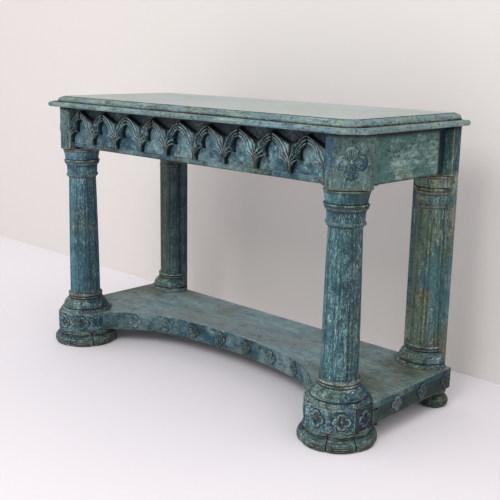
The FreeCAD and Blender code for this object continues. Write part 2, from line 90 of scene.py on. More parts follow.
def length(label, text, value):
    """A property that holds a length in metres."""
    return FloatProperty(name=label, description=text, default=float(value), unit="LENGTH", precision=4)


def colour(label, text, code):
    """A property that holds a paint colour."""
    return FloatVectorProperty(name=label, description=text, default=linear(code), size=3,
                               subtype="COLOR", min=0.0, max=1.0)


def blended(first, second, share):
    """A colour on the way from the first to the second."""
    return tuple(a * (1 - share) + b * share for a, b in zip(first, second))


# ---- sizes and colours --------------------------------------------------------------------
FRONT_AXIS = box_middle("corner_block_right")
BACK_FOOT_AXIS = box_middle("back_foot_right")


class PierTableSizes(bpy.types.PropertyGroup):
    """Sizes of the table, taken from the CAD frame where it has them."""
    table_height: length("Height", "Floor to the top surface", highest("top_board").z)
    column_x: length("Column X", "Middle of the table to a column's axis", FRONT_AXIS.x)
    column_y: length("Column Y", "Level of the front columns' axes", FRONT_AXIS.y)
    back_y: length("Back", "Level of the flat back", highest("back_rail").y)
    rear_axis: length("Rear axis", "Rear column axis to the flat back", 0.009)
    board_low: length("Board underside", "Underside of the top board", lowest("top_board").z)
    lip_low: length("Lip underside", "Underside of the lip", lowest("lip_front").z)
    lip_side: length("Lip side", "Column axis out to the lip's edge", 0.099)
    lip_front: length("Lip front", "Column axis forward to the lip's edge", 0.101)
    lip_cant: length("Cant", "How much each front corner is cut off", 0.049)
    lip_projection: length("Lip projection", "Lip edge beyond the foot of the ovolo", 0.030)
    lip_width: length("Lip width", "Width of the pieces that make the lip", 0.062)
    ovolo: length("Ovolo", "Width of the ovolo", 0.021)
    frieze_low: length("Frieze underside", "Underside of the frieze", lowest("frieze_band").z)
    band_high: length("Band", "Top of the plain band", highest("frieze_band").z)
    rib_face: length("Rib face", "Column axis to the face of the arch ribs", 0.068)
    niche_floor: length("Niche floor", "Column axis to the floor of the niches", 0.048)
    apron_face: length("Apron face", "Column axis out to the side apron", 0.065)
    apron_end: length("Apron end", "Rear end of the side apron", highest("side_apron_right").y)
    block_reach: length("Block reach", "Column axis to the face of a corner block", 0.080)
    block_flat: length("Block flat", "Width of a block's narrow faces", 0.024)
    capital_high: length("Capital top", "Top of a capital", highest("front_capital_right").z)
    capital_low: length("Capital foot", "Foot of a capital", lowest("front_capital_right").z)
    base_high: length("Base top", "Top of a turned base", highest("front_base_right").z)
    platform_high: length("Platform top", "Top of the platform", highest("platform_board").z)
    platform_low: length("Platform underside", "Underside of the platform's rails",
                         lowest("platform_front_rail").z)
    apron_depth: length("Apron thickness", "Thickness of the side aprons", 0.022)
    pilaster_half: length("Pilaster", "Half width of the pilasters and the rear blocks", 0.0715)
    pilaster_depth: length("Pilaster thickness", "Front face of the pilasters to the flat back", 0.020)
    rear_block_depth: length("Rear block", "Front face of the rear blocks to the flat back", 0.041)
    shaft_foot: length("Shaft", "Column axis to a shaft's face at its foot", 0.0522)
    shaft_taper: length("Taper", "How much nearer that face is at the head", 0.0062)
    shaft_swell: length("Swelling", "How much the middle of a shaft is fuller", 0.0009)
    board_edge: length("Platform board", "Thickness of the platform's board", 0.020)
    rail_depth: length("Rail thickness", "Thickness of the platform's rails", 0.022)
    foil_pitch: length("Front foils", "Spacing of the quatrefoils on the hollowed front", 0.1246)
    side_foil_pitch: length("Side foils", "Spacing of the quatrefoils on the sides", 0.130)
    side_foil_end: length("Last side foil", "Middle of the last quatrefoil to the flat back", 0.0325)
    platform_side: length("Platform side", "Column axis out to the platform's side", 0.093)
    bay_depth: length("Hollow", "Column axis back to the middle of the hollowed front", 0.182)
    middle_radius: length("Middle radius", "Radius of the front curve's middle", 1.420)
    middle_reach: length("Middle reach", "Half width of the front curve's middle", 0.250)
    end_radius: length("End radius", "Radius of the front curve's ends", 0.420)
    plinth_apothem: length("Plinth", "Column axis to a plinth's face", 0.0945)
    foot_radius: length("Front foot", "Radius of a front foot", 0.114)
    foot_high: length("Foot top", "Top of a front foot", highest("front_foot_right").z)
    back_foot_radius: length("Back foot", "Radius of a back foot", 0.047)
    back_foot_x: length("Back foot X", "Middle of the table to a back foot's axis", BACK_FOOT_AXIS.x)
    back_foot_y: length("Back foot Y", "Level of the back feet's axes", BACK_FOOT_AXIS.y)
    bay_count: IntProperty(name="Bays", description="Arches along the frieze", default=9, min=3, max=15)


class PierTablePaints(bpy.types.PropertyGroup):
    """Paint colours of the table and of the stage."""
    # Night is the colour of the paint's dark glaze and also of the painted shade in hollows, creases and
    # shaded faces.
    night: colour("Night", "Dark navy left in the hollows", "#0B1820")
    teal: colour("Teal", "Body colour of the paint", "#2B515B")
    blue: colour("Blue", "Bluer brushwork", "#3C6772")
    moss: colour("Moss", "Grey-green brushwork", "#4C6B65")
    mist: colour("Mist", "Pale slate of the mouldings", "#7B9396")
    sage: colour("Sage", "Pale green of the mouldings", "#85968A")
    olive: colour("Olive", "Olive glaze in soft patches", "#565C42")
    bloom: colour("Bloom", "Pale dry-brushed colour", "#A2BFBF")
    cream: colour("Cream", "Palest flecks", "#D9DFD6")
    bone: colour("Bone", "Pale ground laid bare at edges", "#A6B1A2")
    ochre: colour("Ochre", "Worn wood and old varnish", "#74623F")
    top: colour("Top", "Pale paint on the top surface", "#AEB9B8")
    top_warm: colour("Warm top", "Warmer patches on the top surface", "#AAB1A6")
    shelf: colour("Shelf", "Olive grey of the platform's top", "#83918F")
    timber: colour("Timber", "Unpainted inner wood", "#6B5138")
    floor: colour("Floor", "Studio floor", "#ECE8EE")
    wall: colour("Wall", "Studio wall", "#DEDAD7")


def sizes(context):
    """The sizes in millimetres, by name."""
    group = context.scene.pier_sizes
    names = PierTableSizes.__annotations__
    values = {name: getattr(group, name) for name in names}
    return types.SimpleNamespace(**{n: v if isinstance(v, int) else v / MM for n, v in values.items()})


# ---- shader sums --------------------------------------------------------------------------
class Wire:
    """A shader socket that takes part in sums; each operator adds one Math node."""

    def __init__(self, board, socket):
        self.board = board
        self.socket = socket

    def sum(self, operation, first, second):
        """One Math node on two values."""
        return self.board.node("Math", {"operation": operation}, [first, second])

    def __add__(self, other):
        return self.sum("ADD", self, other)

    def __radd__(self, other):
        return self.sum("ADD", other, self)

    def __sub__(self, other):
        return self.sum("SUBTRACT", self, other)

    def __rsub__(self, other):
        return self.sum("SUBTRACT", other, self)

    def __mul__(self, other):
        return self.sum("MULTIPLY", self, other)

    def __rmul__(self, other):
        return self.sum("MULTIPLY", other, self)


class Board:
    """The node tree of one material."""

    def __init__(self, name):
        self.material = bpy.data.materials.new(name)
        self.material.use_nodes = True
        self.tree = self.material.node_tree
        self.tree.nodes.clear()

    def node(self, kind, settings, inputs, output=None):
        """Add a shader node: its type, its settings first, then the values or wires of its sockets."""
        made = self.tree.nodes.new("ShaderNode" + kind)
        for key, value in settings.items():
            setattr(made, key, value)
        sockets = {socket.identifier: socket for socket in made.inputs}
        pairs = zip(made.inputs, inputs) if isinstance(inputs, list) else (
            (sockets[key], value) for key, value in inputs.items())
        for socket, value in pairs:
            if isinstance(value, Wire):
                self.tree.links.new(value.socket, socket)
            else:
                socket.default_value = value
        results = {socket.identifier: socket for socket in made.outputs}
        return Wire(self, results[output] if output else next(iter(made.outputs), None))

    def place(self):
        """Object coordinates in metres."""
        return self.node("TexCoord", {}, {}, "Object")

    def mark(self, name):
        """A value that the mesh carries at its points."""
        return self.node("Attribute", {"attribute_name": name}, {}, "Fac")

    def stretch(self, vector, factors):
        """A vector or colour scaled by three factors."""
        return self.node("VectorMath", {"operation": "MULTIPLY"}, [vector, factors])

    def shift(self, vector, offset):
        """A vector moved by an offset, so that one pattern can be used again elsewhere."""
        return self.node("VectorMath", {"operation": "ADD"}, [vector, offset])

    def noise(self, vector, scale, detail=3.0, rough=0.55, warp=0.0):
        """Fractal noise, about 0.5 on average."""
        return self.node("TexNoise", {}, {"Vector": vector, "Scale": scale, "Detail": detail,
                                          "Roughness": rough, "Distortion": warp}, "Fac")

    def ramp(self, value, low, high, start=0.0, end=1.0):
        """Smooth step from start at low to end at high, held beyond them."""
        return self.node("MapRange", {"interpolation_type": "SMOOTHSTEP"}, [value, low, high, start, end])

    def mix(self, share, first, second):
        """Mix of two colours by a share."""
        fixed = [c if isinstance(c, Wire) else (*c, 1.0) for c in (first, second)]
        return self.node("Mix", {"data_type": "RGBA"},
                         {"Factor_Float": share, "A_Color": fixed[0], "B_Color": fixed[1]}, "Result_Color")

    def bump(self, relief, strength, distance):
        """Normals bent by a relief."""
        return self.node("Bump", {}, {"Strength": strength, "Distance": distance, "Height": relief}, "Normal")

    def finish(self, sockets, clear=None):
        """Close the tree with the surface shader, clear where a wire says so, and return the material."""
        surface = self.node("BsdfPrincipled", {}, sockets)
        if clear is not None:
            surface = self.node("MixShader", {}, [clear, surface, self.node("BsdfTransparent", {}, {})])
        self.node("OutputMaterial", {}, {"Surface": surface})
        return self.material


def aged_paint(name, body, second, grain, bloom=0.5, flecks=0.35, rub=0.8, soot=1.0, patch=6.0,
               stain=0.62, olive=0.25, shift=(0.0, 0.0, 0.0), rough=0.55, depth=1.3,
               tone=(1.0, 1.0, 1.0), dirt=()):
    """Dry-brushed, distressed paint.

    Two body colours change over in soft patches and by the tint that the mesh carries, under thin
    olive patches; on some pieces that tint follows the way a face turns, as painted light and shade.
    A dark glaze lies where mottle, brushwork and grit are low together, and pale paint is dragged
    along the grain where they are high. Cream flecks sit in groups. The carried rub bares pale paint
    and ochre at edges, and the carried mark of painted shade and grime darkens hollows, creases and
    faces turned from the light. The whole is raised to the power of the depth, which strengthens its
    contrast, and tinted by the tone. The grain gives how fast the brushwork changes along each axis,
    per metre. The dirt lists round, ragged olive patches seen from above, each as (x, y, reach,
    strength) in metres.
    """
    paints = bpy.context.scene.pier_paints
    b = Board(name)
    here = b.shift(b.place(), shift)
    clouds = b.noise(here, patch, 4.0, 0.6, 0.5)
    broad = b.noise(b.shift(here, (5.0, 8.0, 2.0)), patch * 0.8, 3.0, 0.6, 0.3)
    mottle = b.noise(b.shift(here, (3.1, 1.7, 0.4)), patch * 7.0, 5.0, 0.7, 0.3)
    brush = b.noise(b.stretch(here, grain), 1.0, 6.0, 0.74, 0.3)
    comb_grain = tuple(3.2 * g for g in grain)
    comb = b.noise(b.stretch(b.shift(here, (0.7, 0.2, 0.9)), comb_grain), 1.0, 3.0, 0.65)
    grit_grain = tuple(140 + 1.6 * g for g in grain)
    grit = b.noise(b.stretch(b.shift(here, (9.0, 2.0, 5.0)), grit_grain), 1.0, 3.0, 0.7)
    # body colours and olive patches
    coat = b.mix(b.ramp(clouds * 0.7 + mottle * 0.3 + b.mark("tint") * 0.3, 0.42, 0.58), body, second)
    coat = b.mix(b.ramp(broad * 0.7 + mottle * 0.3, 0.50, 0.64) * olive, coat, paints.olive)
    for x, y, reach, strength in dirt:
        from_above = b.stretch(b.place(), (1, 1, 0))
        far = b.node("VectorMath", {"operation": "DISTANCE"}, [from_above, (x, y, 0)], "Value")
        ragged = far + (clouds - 0.5) * 0.35 + (mottle - 0.5) * 0.2
        coat = b.mix(b.ramp(ragged, reach, reach * 0.35) * strength, coat, paints.olive)
    # dark glaze, pale dry brush and cream flecks
    glaze_and_shade = b.ramp(mottle * 0.42 + brush * 0.30 + grit * 0.28, 0.52, 0.38)
    coat = b.mix(glaze_and_shade * stain, coat, paints.night)
    drag = b.ramp(brush * 0.34 + comb * 0.36 + grit * 0.30 + (clouds - 0.5) * 0.3, 0.49, 0.63)
    coat = b.mix(drag * bloom, coat, paints.bloom)
    spark = b.ramp(grit * 0.55 + comb * 0.45, 0.555, 0.64) * b.ramp(mottle, 0.42, 0.60)
    coat = b.mix(spark * flecks, coat, paints.cream)
    # rubbed edges, and painted shade and grime in the hollows
    worn = b.ramp(b.mark("rub") + (mottle - 0.5) * 1.4 + (grit - 0.5) * 1.2, 0.50, 1.0)
    bared = b.mix(b.ramp(broad * 0.5 + mottle * 0.5, 0.46, 0.57), paints.bone, paints.ochre)
    coat = b.mix(worn * rub, coat, bared)
    deep = b.ramp(b.mark("soot") + (mottle - 0.5) * 1.1 + (grit - 0.5) * 0.6, 0.14, 0.9)
    coat = b.mix(deep * soot, coat, paints.night)
    coat = b.stretch(b.node("VectorMath", {"operation": "POWER"}, [coat, (depth,) * 3]), tone)
    bump = b.bump(brush * 0.5 + comb * 0.3 + grit * 0.4 + worn * -0.5, 0.4, 0.0014)
    return b.finish({"Base Color": coat, "Roughness": rough + 0.22 * mottle - 0.12 * drag,
                     "Specular IOR Level": 0.35, "Normal": bump})


def plain_timber(name, grain):
    """Unpainted old wood: dark and light bands along the grain with dirty patches."""
    paints = bpy.context.scene.pier_paints
    b = Board(name)
    here = b.place()
    rings = b.noise(b.stretch(here, grain), 1.0, 5.0, 0.65, 0.6)
    dirt = b.noise(here, 9.0, 4.0, 0.6)
    dark = tuple(0.35 * c for c in paints.timber)
    grime = tuple(0.2 * c for c in paints.timber)
    wood = b.mix(b.ramp(rings, 0.35, 0.65), dark, paints.timber)
    wood = b.mix(b.ramp(dirt, 0.45, 0.7) * 0.5, wood, grime)
    return b.finish({"Base Color": wood, "Roughness": 0.7 + 0.15 * dirt, "Normal": b.bump(rings, 0.3, 0.001)})


# ---- outlines and profiles ----------------------------------------------------------------
def distinct(points, closed):
    """A line without the points that lie on the one before them."""
    gap = np.linalg.norm(points[:, :2] - np.roll(points[:, :2], 1, 0), axis=1)
    keep = gap > 1e-4
    if not closed:
        keep[0] = True
    return points[keep]


def softened(corners, closed, steps=4, reach=9.0):
    """Softened outline of corners (a, b, r, ...), open or closed.

    Each corner becomes a quadratic curve that leaves the side before it at r and meets the next
    side at r. Two more points stand in every side, one reach from each end, to hold the wear
    near the edges. Further columns of a corner are carried along.
    """
    rows = np.array(corners, float)
    place, radius = rows[:, :2], rows[:, 2:3]
    back = np.roll(place, 1, 0) - place
    ahead = np.roll(place, -1, 0) - place
    far_back = np.linalg.norm(back, axis=1, keepdims=True) + 1e-9
    far_ahead = np.linalg.norm(ahead, axis=1, keepdims=True) + 1e-9
    first = place + back / far_back * np.minimum(radius, 0.48 * far_back)
    last = place + ahead / far_ahead * np.minimum(radius, 0.48 * far_ahead)
    t = np.linspace(0, 1, steps + 1)[None, :, None]
    bend = (1 - t) ** 2 * first[:, None] + 2 * t * (1 - t) * place[:, None] + t ** 2 * last[:, None]
    side = np.roll(first, -1, 0) - last
    far_side = np.linalg.norm(side, axis=1, keepdims=True) + 1e-9
    hold = np.minimum(reach, far_side / 3) / far_side
    near = last + side * hold
    distant = last + side * (1 - hold)
    extra = np.repeat(rows[:, None, 3:], steps + 1, 1)
    following = np.roll(rows[:, 3:], -1, 0)
    near_extra = rows[:, 3:] + (following - rows[:, 3:]) * hold
    distant_extra = rows[:, 3:] + (following - rows[:, 3:]) * (1 - hold)
    blocks = np.concatenate([np.concatenate([bend, extra], 2),
                             np.concatenate([near, near_extra], 1)[:, None],
                             np.concatenate([distant, distant_extra], 1)[:, None]], 1)
    if closed:
        return distinct(blocks.reshape(-1, blocks.shape[2]), True)
    ends = np.concatenate([rows[:, :2], rows[:, 3:]], 1)
    middle = blocks[1:-1].reshape(-1, blocks.shape[2])
    return distinct(np.concatenate([ends[:1], blocks[0, -2:], middle, ends[-1:]]), False)


def mitres(path, closed):
    """Outward mitre vectors of an anticlockwise plan path.

    Each is the sum of the unit normals of the two sides that meet at a point over one plus their
    dot product, so that moving the point by it moves both sides out by one.
    """
    step = np.roll(path, -1, 0) - path
    if not closed:
        step[-1] = step[-2]
    step = step / np.linalg.norm(step, axis=1, keepdims=True)
    before = np.roll(step, 1, 0)
    if not closed:
        before[0] = step[0]
    out_now = np.stack([step[:, 1], -step[:, 0]], 1)
    out_before = np.stack([before[:, 1], -before[:, 0]], 1)
    return (out_now + out_before) / (1 + np.sum(out_now * out_before, 1, keepdims=True))


def square_back(path, vectors, back_y):
    """Keep the moulding off the flat back: points on it move only sideways."""
    behind = path[:, 1] > back_y - 0.01
    held = vectors.copy()
    held[behind] = np.stack([np.sign(path[behind, 0]), np.zeros(behind.sum())], 1)
    return held


def wrapped(outline, profile, vectors=None):
    """A profile (outward offset, height, ...) carried along a plan outline, one row for each profile point.

    Every outline point moves by its mitre vector times the offset, to the profile's height.
    """
    vectors = mitres(outline, True) if vectors is None else vectors
    return raised(outline[None] + profile[:, 0, None, None] * vectors[None], profile)


def raised(plan, profile):
    """Grid of plan points with one profile height for each row."""
    height = np.broadcast_to(profile[:, 1, None, None], plan.shape[:2] + (1,))
    return np.concatenate([plan, height], 2)


def straight(section, along):
    """A section (y, z, ...) carried along X: one row for each section point, one column for each place."""
    rows = section[:, None, :2]
    shape = (len(section), len(along), 1)
    return np.concatenate([np.broadcast_to(along[:, None], shape),
                           np.broadcast_to(rows[..., :1], shape), np.broadcast_to(rows[..., 1:], shape)], 2)


def board_plan(left, right, front, back, soft_front, soft_back):
    """Plan corners (x, y, r) of a plain board, anticlockwise from its left front one."""
    return [(left, front, soft_front), (right, front, soft_front),
            (right, back, soft_back), (left, back, soft_back)]


def slab_profile(low, high, arris, levels=()):
    """Profile of an upright edge with softened arrises, from its underside to its top."""
    sides = [(0, low, arris)] + [(0, z, 0) for z in levels] + [(0, high, arris)]
    return softened([(-14, low, 0)] + sides + [(-14, high, 0)], False, 3, 7.0)


def octagon(apothem, corner):
    """Closed outline of a regular octagon with flat faces to front and sides, its corners softened."""
    turn = np.arange(1, 17) * QUARTER / 2
    at_corner = np.arange(1, 17) % 2 == 1
    reach = np.where(at_corner, apothem / math.cos(QUARTER / 2), apothem)
    points = np.stack([reach * np.cos(turn), reach * np.sin(turn), np.where(at_corner, corner, 0)], 1)
    return softened(points, True, 5, 6.0)


def step_up(value, low, high):
    """Smooth step from 0 at low to 1 at high."""
    t = np.clip((value - low) / (high - low), 0, 1)
    return t * t * (3 - 2 * t)


# ---- meshes -------------------------------------------------------------------------------
class Skin:
    """Collects grids of points and makes one closed mesh of them."""

    def __init__(self):
        self.points = []
        self.faces = []
        self.marks = {"tint": [], "soot": [], "rub": []}
        self.paints = []
        self.count = 0

    def add(self, grid, around=False, loop=False, cap_rows=False, cap_columns=False, paint=0, **marks):
        """Add a grid of rows and columns of points, and return the skin.

        around joins the last column to the first, loop the last row to the first, and the caps
        close the first and last row, or column, with one flat face each.
        """
        rows, columns = grid.shape[:2]
        index = self.count + np.arange(rows * columns).reshape(rows, columns)
        wide = np.concatenate([index, index[:, :1]], 1) if around else index
        full = np.concatenate([wide, wide[:1]], 0) if loop else wide
        quads = np.stack([full[:-1, :-1], full[:-1, 1:], full[1:, 1:], full[1:, :-1]], 2).reshape(-1, 4)
        self.faces += quads.tolist()
        if cap_rows in (True, "first"):
            self.faces.append(index[0, ::-1].tolist())
        if cap_rows in (True, "last"):
            self.faces.append(index[-1].tolist())
        if cap_columns:
            self.faces += [index[:, 0].tolist(), index[::-1, -1].tolist()]
        self.paints += [paint] * (len(self.faces) - len(self.paints))
        self.points.append(grid.reshape(-1, 3))
        for name, values in self.marks.items():
            values.append(np.broadcast_to(marks.get(name, 0.0), (rows, columns)).reshape(-1))
        self.count += rows * columns
        return self

    def mesh(self, name):
        """The mesh in metres, with its marks at its points."""
        mesh = bpy.data.meshes.new(name)
        mesh.from_pydata(np.concatenate(self.points) * MM, [], self.faces)
        mesh.polygons.foreach_set("material_index", self.paints)
        for mark, values in self.marks.items():
            carried = mesh.attributes.new(mark, "FLOAT", "POINT").data
            carried.foreach_set("value", np.concatenate(values).astype(np.float32))
        return mesh

    def make(self, name, material, slot, nodes, reach=4.0, sharp=38.0, edge=3.0):
        """Make the object: merge seams, face it outwards, work out its wear, and hand it to the frame.

        Sharp is the angle in degrees past which an edge stays crisp, edge the size in millimetres of
        an arris that is fully rubbed, and reach how far its wear fades.
        """
        mesh = self.mesh(name)
        work = bmesh.new()
        work.from_mesh(mesh)
        bmesh.ops.remove_doubles(work, verts=work.verts, dist=MERGE)
        bmesh.ops.dissolve_degenerate(work, dist=SLIVER, edges=work.edges)
        bmesh.ops.delete(work, geom=[v for v in work.verts if not v.link_faces], context="VERTS")
        bmesh.ops.recalc_face_normals(work, faces=work.faces)
        work.to_mesh(mesh)
        work.free()
        mesh.shade_smooth()
        mesh.set_sharp_from_angle(angle=math.radians(sharp))
        carry_wear(mesh, reach * MM, edge * MM)
        for paint in material if isinstance(material, list) else [material]:
            mesh.materials.append(paint)
        piece = linked(name, mesh)
        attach(piece, "root")
        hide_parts(*nodes)


def linked(name, data):
    """A new object of the scene that shows a mesh, a lamp or a camera."""
    made = bpy.data.objects.new(name, data)
    bpy.context.scene.collection.objects.link(made)
    return made


def values_of(items, field, width, kind=np.float32):
    """One field of all items of a mesh, as an array with a row for each item."""
    held = np.empty(len(items) * width, kind)
    items.foreach_get(field, held)
    return held.reshape(-1, width)


def carry_wear(mesh, reach, edge):
    """Add wear, and painted shade and grime, to the carried marks.

    The bend of an edge between two points, seen from each point's normal, is twice the drop along
    the normal over the squared length. Times the edge size it gives 1 on a sharp arris, which is
    rubbed bare, and its opposite gives painted shade and grime in a sharp hollow, where shade falls.
    Both spread to neighbours and fade with the distance.
    """
    place = values_of(mesh.vertices, "co", 3)
    normal = values_of(mesh.vertex_normals, "vector", 3)
    ends = values_of(mesh.edges, "vertices", 2, np.int32)
    a = np.concatenate([ends[:, 0], ends[:, 1]])
    b = np.concatenate([ends[:, 1], ends[:, 0]])
    away = place[a] - place[b]
    squared = np.maximum(np.sum(away ** 2, 1), 1e-10)
    bend = 2 * np.sum(away * normal[a], 1) / squared * edge
    fade = np.exp(-np.sqrt(squared) / reach)
    for mark, sign, scale in (("rub", 1, 1.0), ("soot", -1, 0.75)):
        held = np.zeros(len(place))
        np.maximum.at(held, a, np.clip(sign * bend, 0, 1) ** 1.5)
        for _ in range(WEAR_ROUNDS):
            spread = held.copy()
            np.maximum.at(spread, a, held[b] * fade)
            held = spread
        carried = mesh.attributes[mark].data
        total = np.clip(values_of(carried, "value", 1)[:, 0] + held * scale, -1, 1.5)
        carried.foreach_set("value", total.astype(np.float32))


def flip(plan, side):
    """A right-hand plan, or its left-hand mirror image, kept anticlockwise."""
    return plan if side > 0 else [(-x, y, r) for x, y, r in reversed(plan)]


def slab(corners, low, high, arris=1.5, levels=(), **marks):
    """Skin of a piece of board: a softened plan outline of corners (x, y, r) with softened arrises.

    The levels are more heights to hold a mark, and a mark may be worked out from the grid.
    """
    grid = wrapped(softened(corners, True, 3, 8.0), slab_profile(low, high, arris, levels))
    worked = {name: value(grid) if callable(value) else value for name, value in marks.items()}
    return Skin().add(grid, around=True, cap_rows=True, **worked)


def under_lip(s, depth, strength=0.9):
    """Painted shade under the lip: none at a depth below it, most at the top."""
    return lambda grid: strength * step_up(grid[..., 2], s.lip_low - depth, s.lip_low)


def turned(profile, x, y, apothem, corner, clip_y, glaze_and_shade):
    """Skin of eight-sided turned work that can grow round.

    A softened octagon is moved outwards to each profile row (apothem, height, roundness, tint),
    and drawn towards a circle of that radius by the roundness. A clip level flattens its back.
    A line of painted shade lies beside each arris, as a bell round 5 mm from it, so that the facets read
    apart; the last argument says how dark it is.
    """
    ring = octagon(apothem, corner)
    plan = ring[None] + (profile[:, 0, None, None] - apothem) * mitres(ring, True)[None]
    heading = ring / np.linalg.norm(ring, axis=1, keepdims=True)
    share = profile[:, 2, None, None]
    plan = plan * (1 - share) + profile[:, 0, None, None] * heading[None] * share + np.array([x, y])
    plan[..., 1] = np.minimum(plan[..., 1], clip_y)
    facet = np.arctan2(heading[:, 1], heading[:, 0])[None]
    off_face = np.abs((facet + QUARTER / 2) % QUARTER - QUARTER / 2)
    from_arris = apothem * (math.tan(QUARTER / 2) - np.tan(off_face))
    # Painted light and shade: the tint follows each facet's facing, so faces to the front and left take the
    # second colour and faces to the right the body colour.
    return Skin().add(raised(plan, profile), around=True, cap_rows=True,
                      tint=0.8 * np.cos(facet + 2.6) + profile[:, 3, None],
                      soot=glaze_and_shade * np.exp(-((from_arris - 5.0) / 3.2) ** 2))


def foil_outline(angle, tip, cusp, power):
    """Distance from the middle to a four-lobed outline.

    With d the angle to the nearest lobe's axis over 45 degrees, it is the cusp's distance plus the
    rest of the way to the tip times the root of one less d to a power.
    """
    d = np.abs((angle + QUARTER) % (2 * QUARTER) - QUARTER) / QUARTER
    return cusp + (tip - cusp) * np.sqrt(np.clip(1 - d ** power, 0, 1))


def quatrefoil(skin, centre, facing, tips, cusp, power, relief, worn=0.3, sunk=0.0, flutes=0.0, turn=96):
    """Add a carved quatrefoil on an upright face to a skin.

    A polar grid: each row (share, rise, painted shade) of the relief is the four-lobed outline times a
    share, raised by a height, and it goes on behind the face to close. Tips gives the half width
    and half height. The flutes are sine waves across the lobes. Sunk adds painted shade inside the
    outline, and worn rubs the raised lobes.
    """
    angle = np.arange(turn) / turn * 2 * math.pi
    shares, rise, soot = np.array(relief).T[:, :, None]
    out = foil_outline(angle, 1.0, cusp, power)[None]
    across = shares * out * tips[0] * np.cos(angle)
    up = shares * out * tips[1] * np.sin(angle)
    lobes = step_up(shares, 0.25, 0.5) * (1 - step_up(shares, 0.72, 0.84)) * (rise > 0)
    height = rise + flutes * np.sin(across * 1.25) * lobes
    normal = np.array([math.cos(facing), math.sin(facing), 0.0])
    right = np.array([-normal[1], normal[0], 0.0])
    lift = np.array([0.0, 0.0, 1.0])
    grid = np.array(centre) + across[..., None] * right + up[..., None] * lift + height[..., None] * normal
    skin.add(grid, around=True, cap_rows=True, soot=soot + sunk * (shares < 0.8), rub=worn * (rise > 2.9))


# ---- the top ------------------------------------------------------------------------------
def top_corners(s, inset):
    """Plan corners of the top, from the left back round the front to the right back."""
    side = s.column_x + s.lip_side - inset
    front = s.column_y - s.lip_front + inset
    cant = s.lip_cant - inset * (2 - math.sqrt(2))
    left = [(-side, s.back_y), (-side, front + cant), (-side + cant, front)]
    return np.array(left + [(-x, y) for x, y in reversed(left)])


def build_top_board(s, material, edge):
    """Top board: an ovolo over a small quirk, with a fine step between it and the flat top.

    The ovolo is a quarter of an ellipse from the shoulder up to the crest.
    """
    outline = top_corners(s, s.lip_projection)
    low, high = s.board_low, s.table_height
    quirk, shoulder, crest = -1.2, low + 3.4, high - 1.3
    turn = np.linspace(0, math.pi / 2, 12)
    ovolo = np.stack([quirk - s.ovolo * (1 - np.cos(turn)), shoulder + (crest - shoulder) * np.sin(turn)], 1)
    inner = quirk - s.ovolo
    foot = [(-20, low), (-6, low), (-1.0, low), (-0.2, low + 0.4), (0, low + 1.0), (0, shoulder - 0.6),
            (-0.4, shoulder)]
    flat = [(inner - 0.4, crest + 0.1), (inner - 0.6, high - 0.5), (inner - 1.1, high), (inner - 3, high),
            (inner - 9, high), (inner - 30, high)]
    profile = np.concatenate([foot, ovolo[1:], flat])
    # Painted shade in the quirk under the ovolo, darkest on the underside.
    soot = np.interp(np.arange(len(profile)), [0, 5, 6, 8, len(profile)], [1, 0.35, 0.2, 0, 0])[:, None]
    grid = wrapped(outline, profile, square_back(outline, mitres(outline, True), s.back_y))
    split = len(profile) - 4
    skin = Skin().add(grid[:split], around=True, cap_rows="first", soot=soot[:split])
    skin.add(grid[split - 1:], around=True, cap_rows="last", paint=1)
    skin.make("top_board_moulded", [edge, material], "top_paint", ["top_board"], reach=4.0)


def build_lip(s, material):
    """Lip: five mitred pieces, carried along the edges of the top.

    Their nose is half a circle as high as the lip, and painted shade is deepest at the back, where the lip
    runs under the board.
    """
    outline = top_corners(s, 0.0)
    vectors = square_back(outline, mitres(outline, False), s.back_y)
    nose = (s.board_low - s.lip_low) / 2
    turn = np.linspace(-math.pi / 2, math.pi / 2, 13)
    curve = np.stack([nose * (np.cos(turn) - 1), s.lip_low + nose * (1 + np.sin(turn))], 1)
    section = np.concatenate([[(-s.lip_width, s.lip_low), (-nose - 10, s.lip_low)], curve,
                              [(-nose - 10, s.board_low), (-s.lip_width, s.board_low)]])
    soot = np.interp(section[:, 0], [-40, -20, -6, 0], [1, 0.7, 0, 0])[:, None]
    for k, name in enumerate(("lip_left", "lip_corner_left", "lip_front", "lip_corner_right", "lip_right")):
        grid = wrapped(outline[k:k + 2], section, vectors[k:k + 2])
        skin = Skin().add(grid, loop=True, cap_columns=True, soot=soot)
        skin.make(name + "_moulded", material, "lip_paint", [name], reach=6.0, edge=4.0)


# ---- the frieze ---------------------------------------------------------------------------
def arc_points(centre, radius, start, end, count):
    """Points on an arc from one angle to another, without the first."""
    turn = np.linspace(start, end, count + 1)[1:]
    return np.stack([centre[0] + radius * np.cos(turn), centre[1] + radius * np.sin(turn)], 1)


def by_length(points, shares):
    """Points at given shares of a line's length."""
    gone = np.concatenate([[0], np.cumsum(np.linalg.norm(np.diff(points, axis=0), axis=1))])
    gone /= gone[-1]
    return np.stack([np.interp(shares, gone, points[:, k]) for k in (0, 1)], 1)


# Springing of the outer arch line over the band, how far its centre lies past the bay's middle, and
# its distance to the bay's side.
ARCH_SPRING, ARCH_SWING, ARCH_SIDE = 20.0, 30.0, 1.6


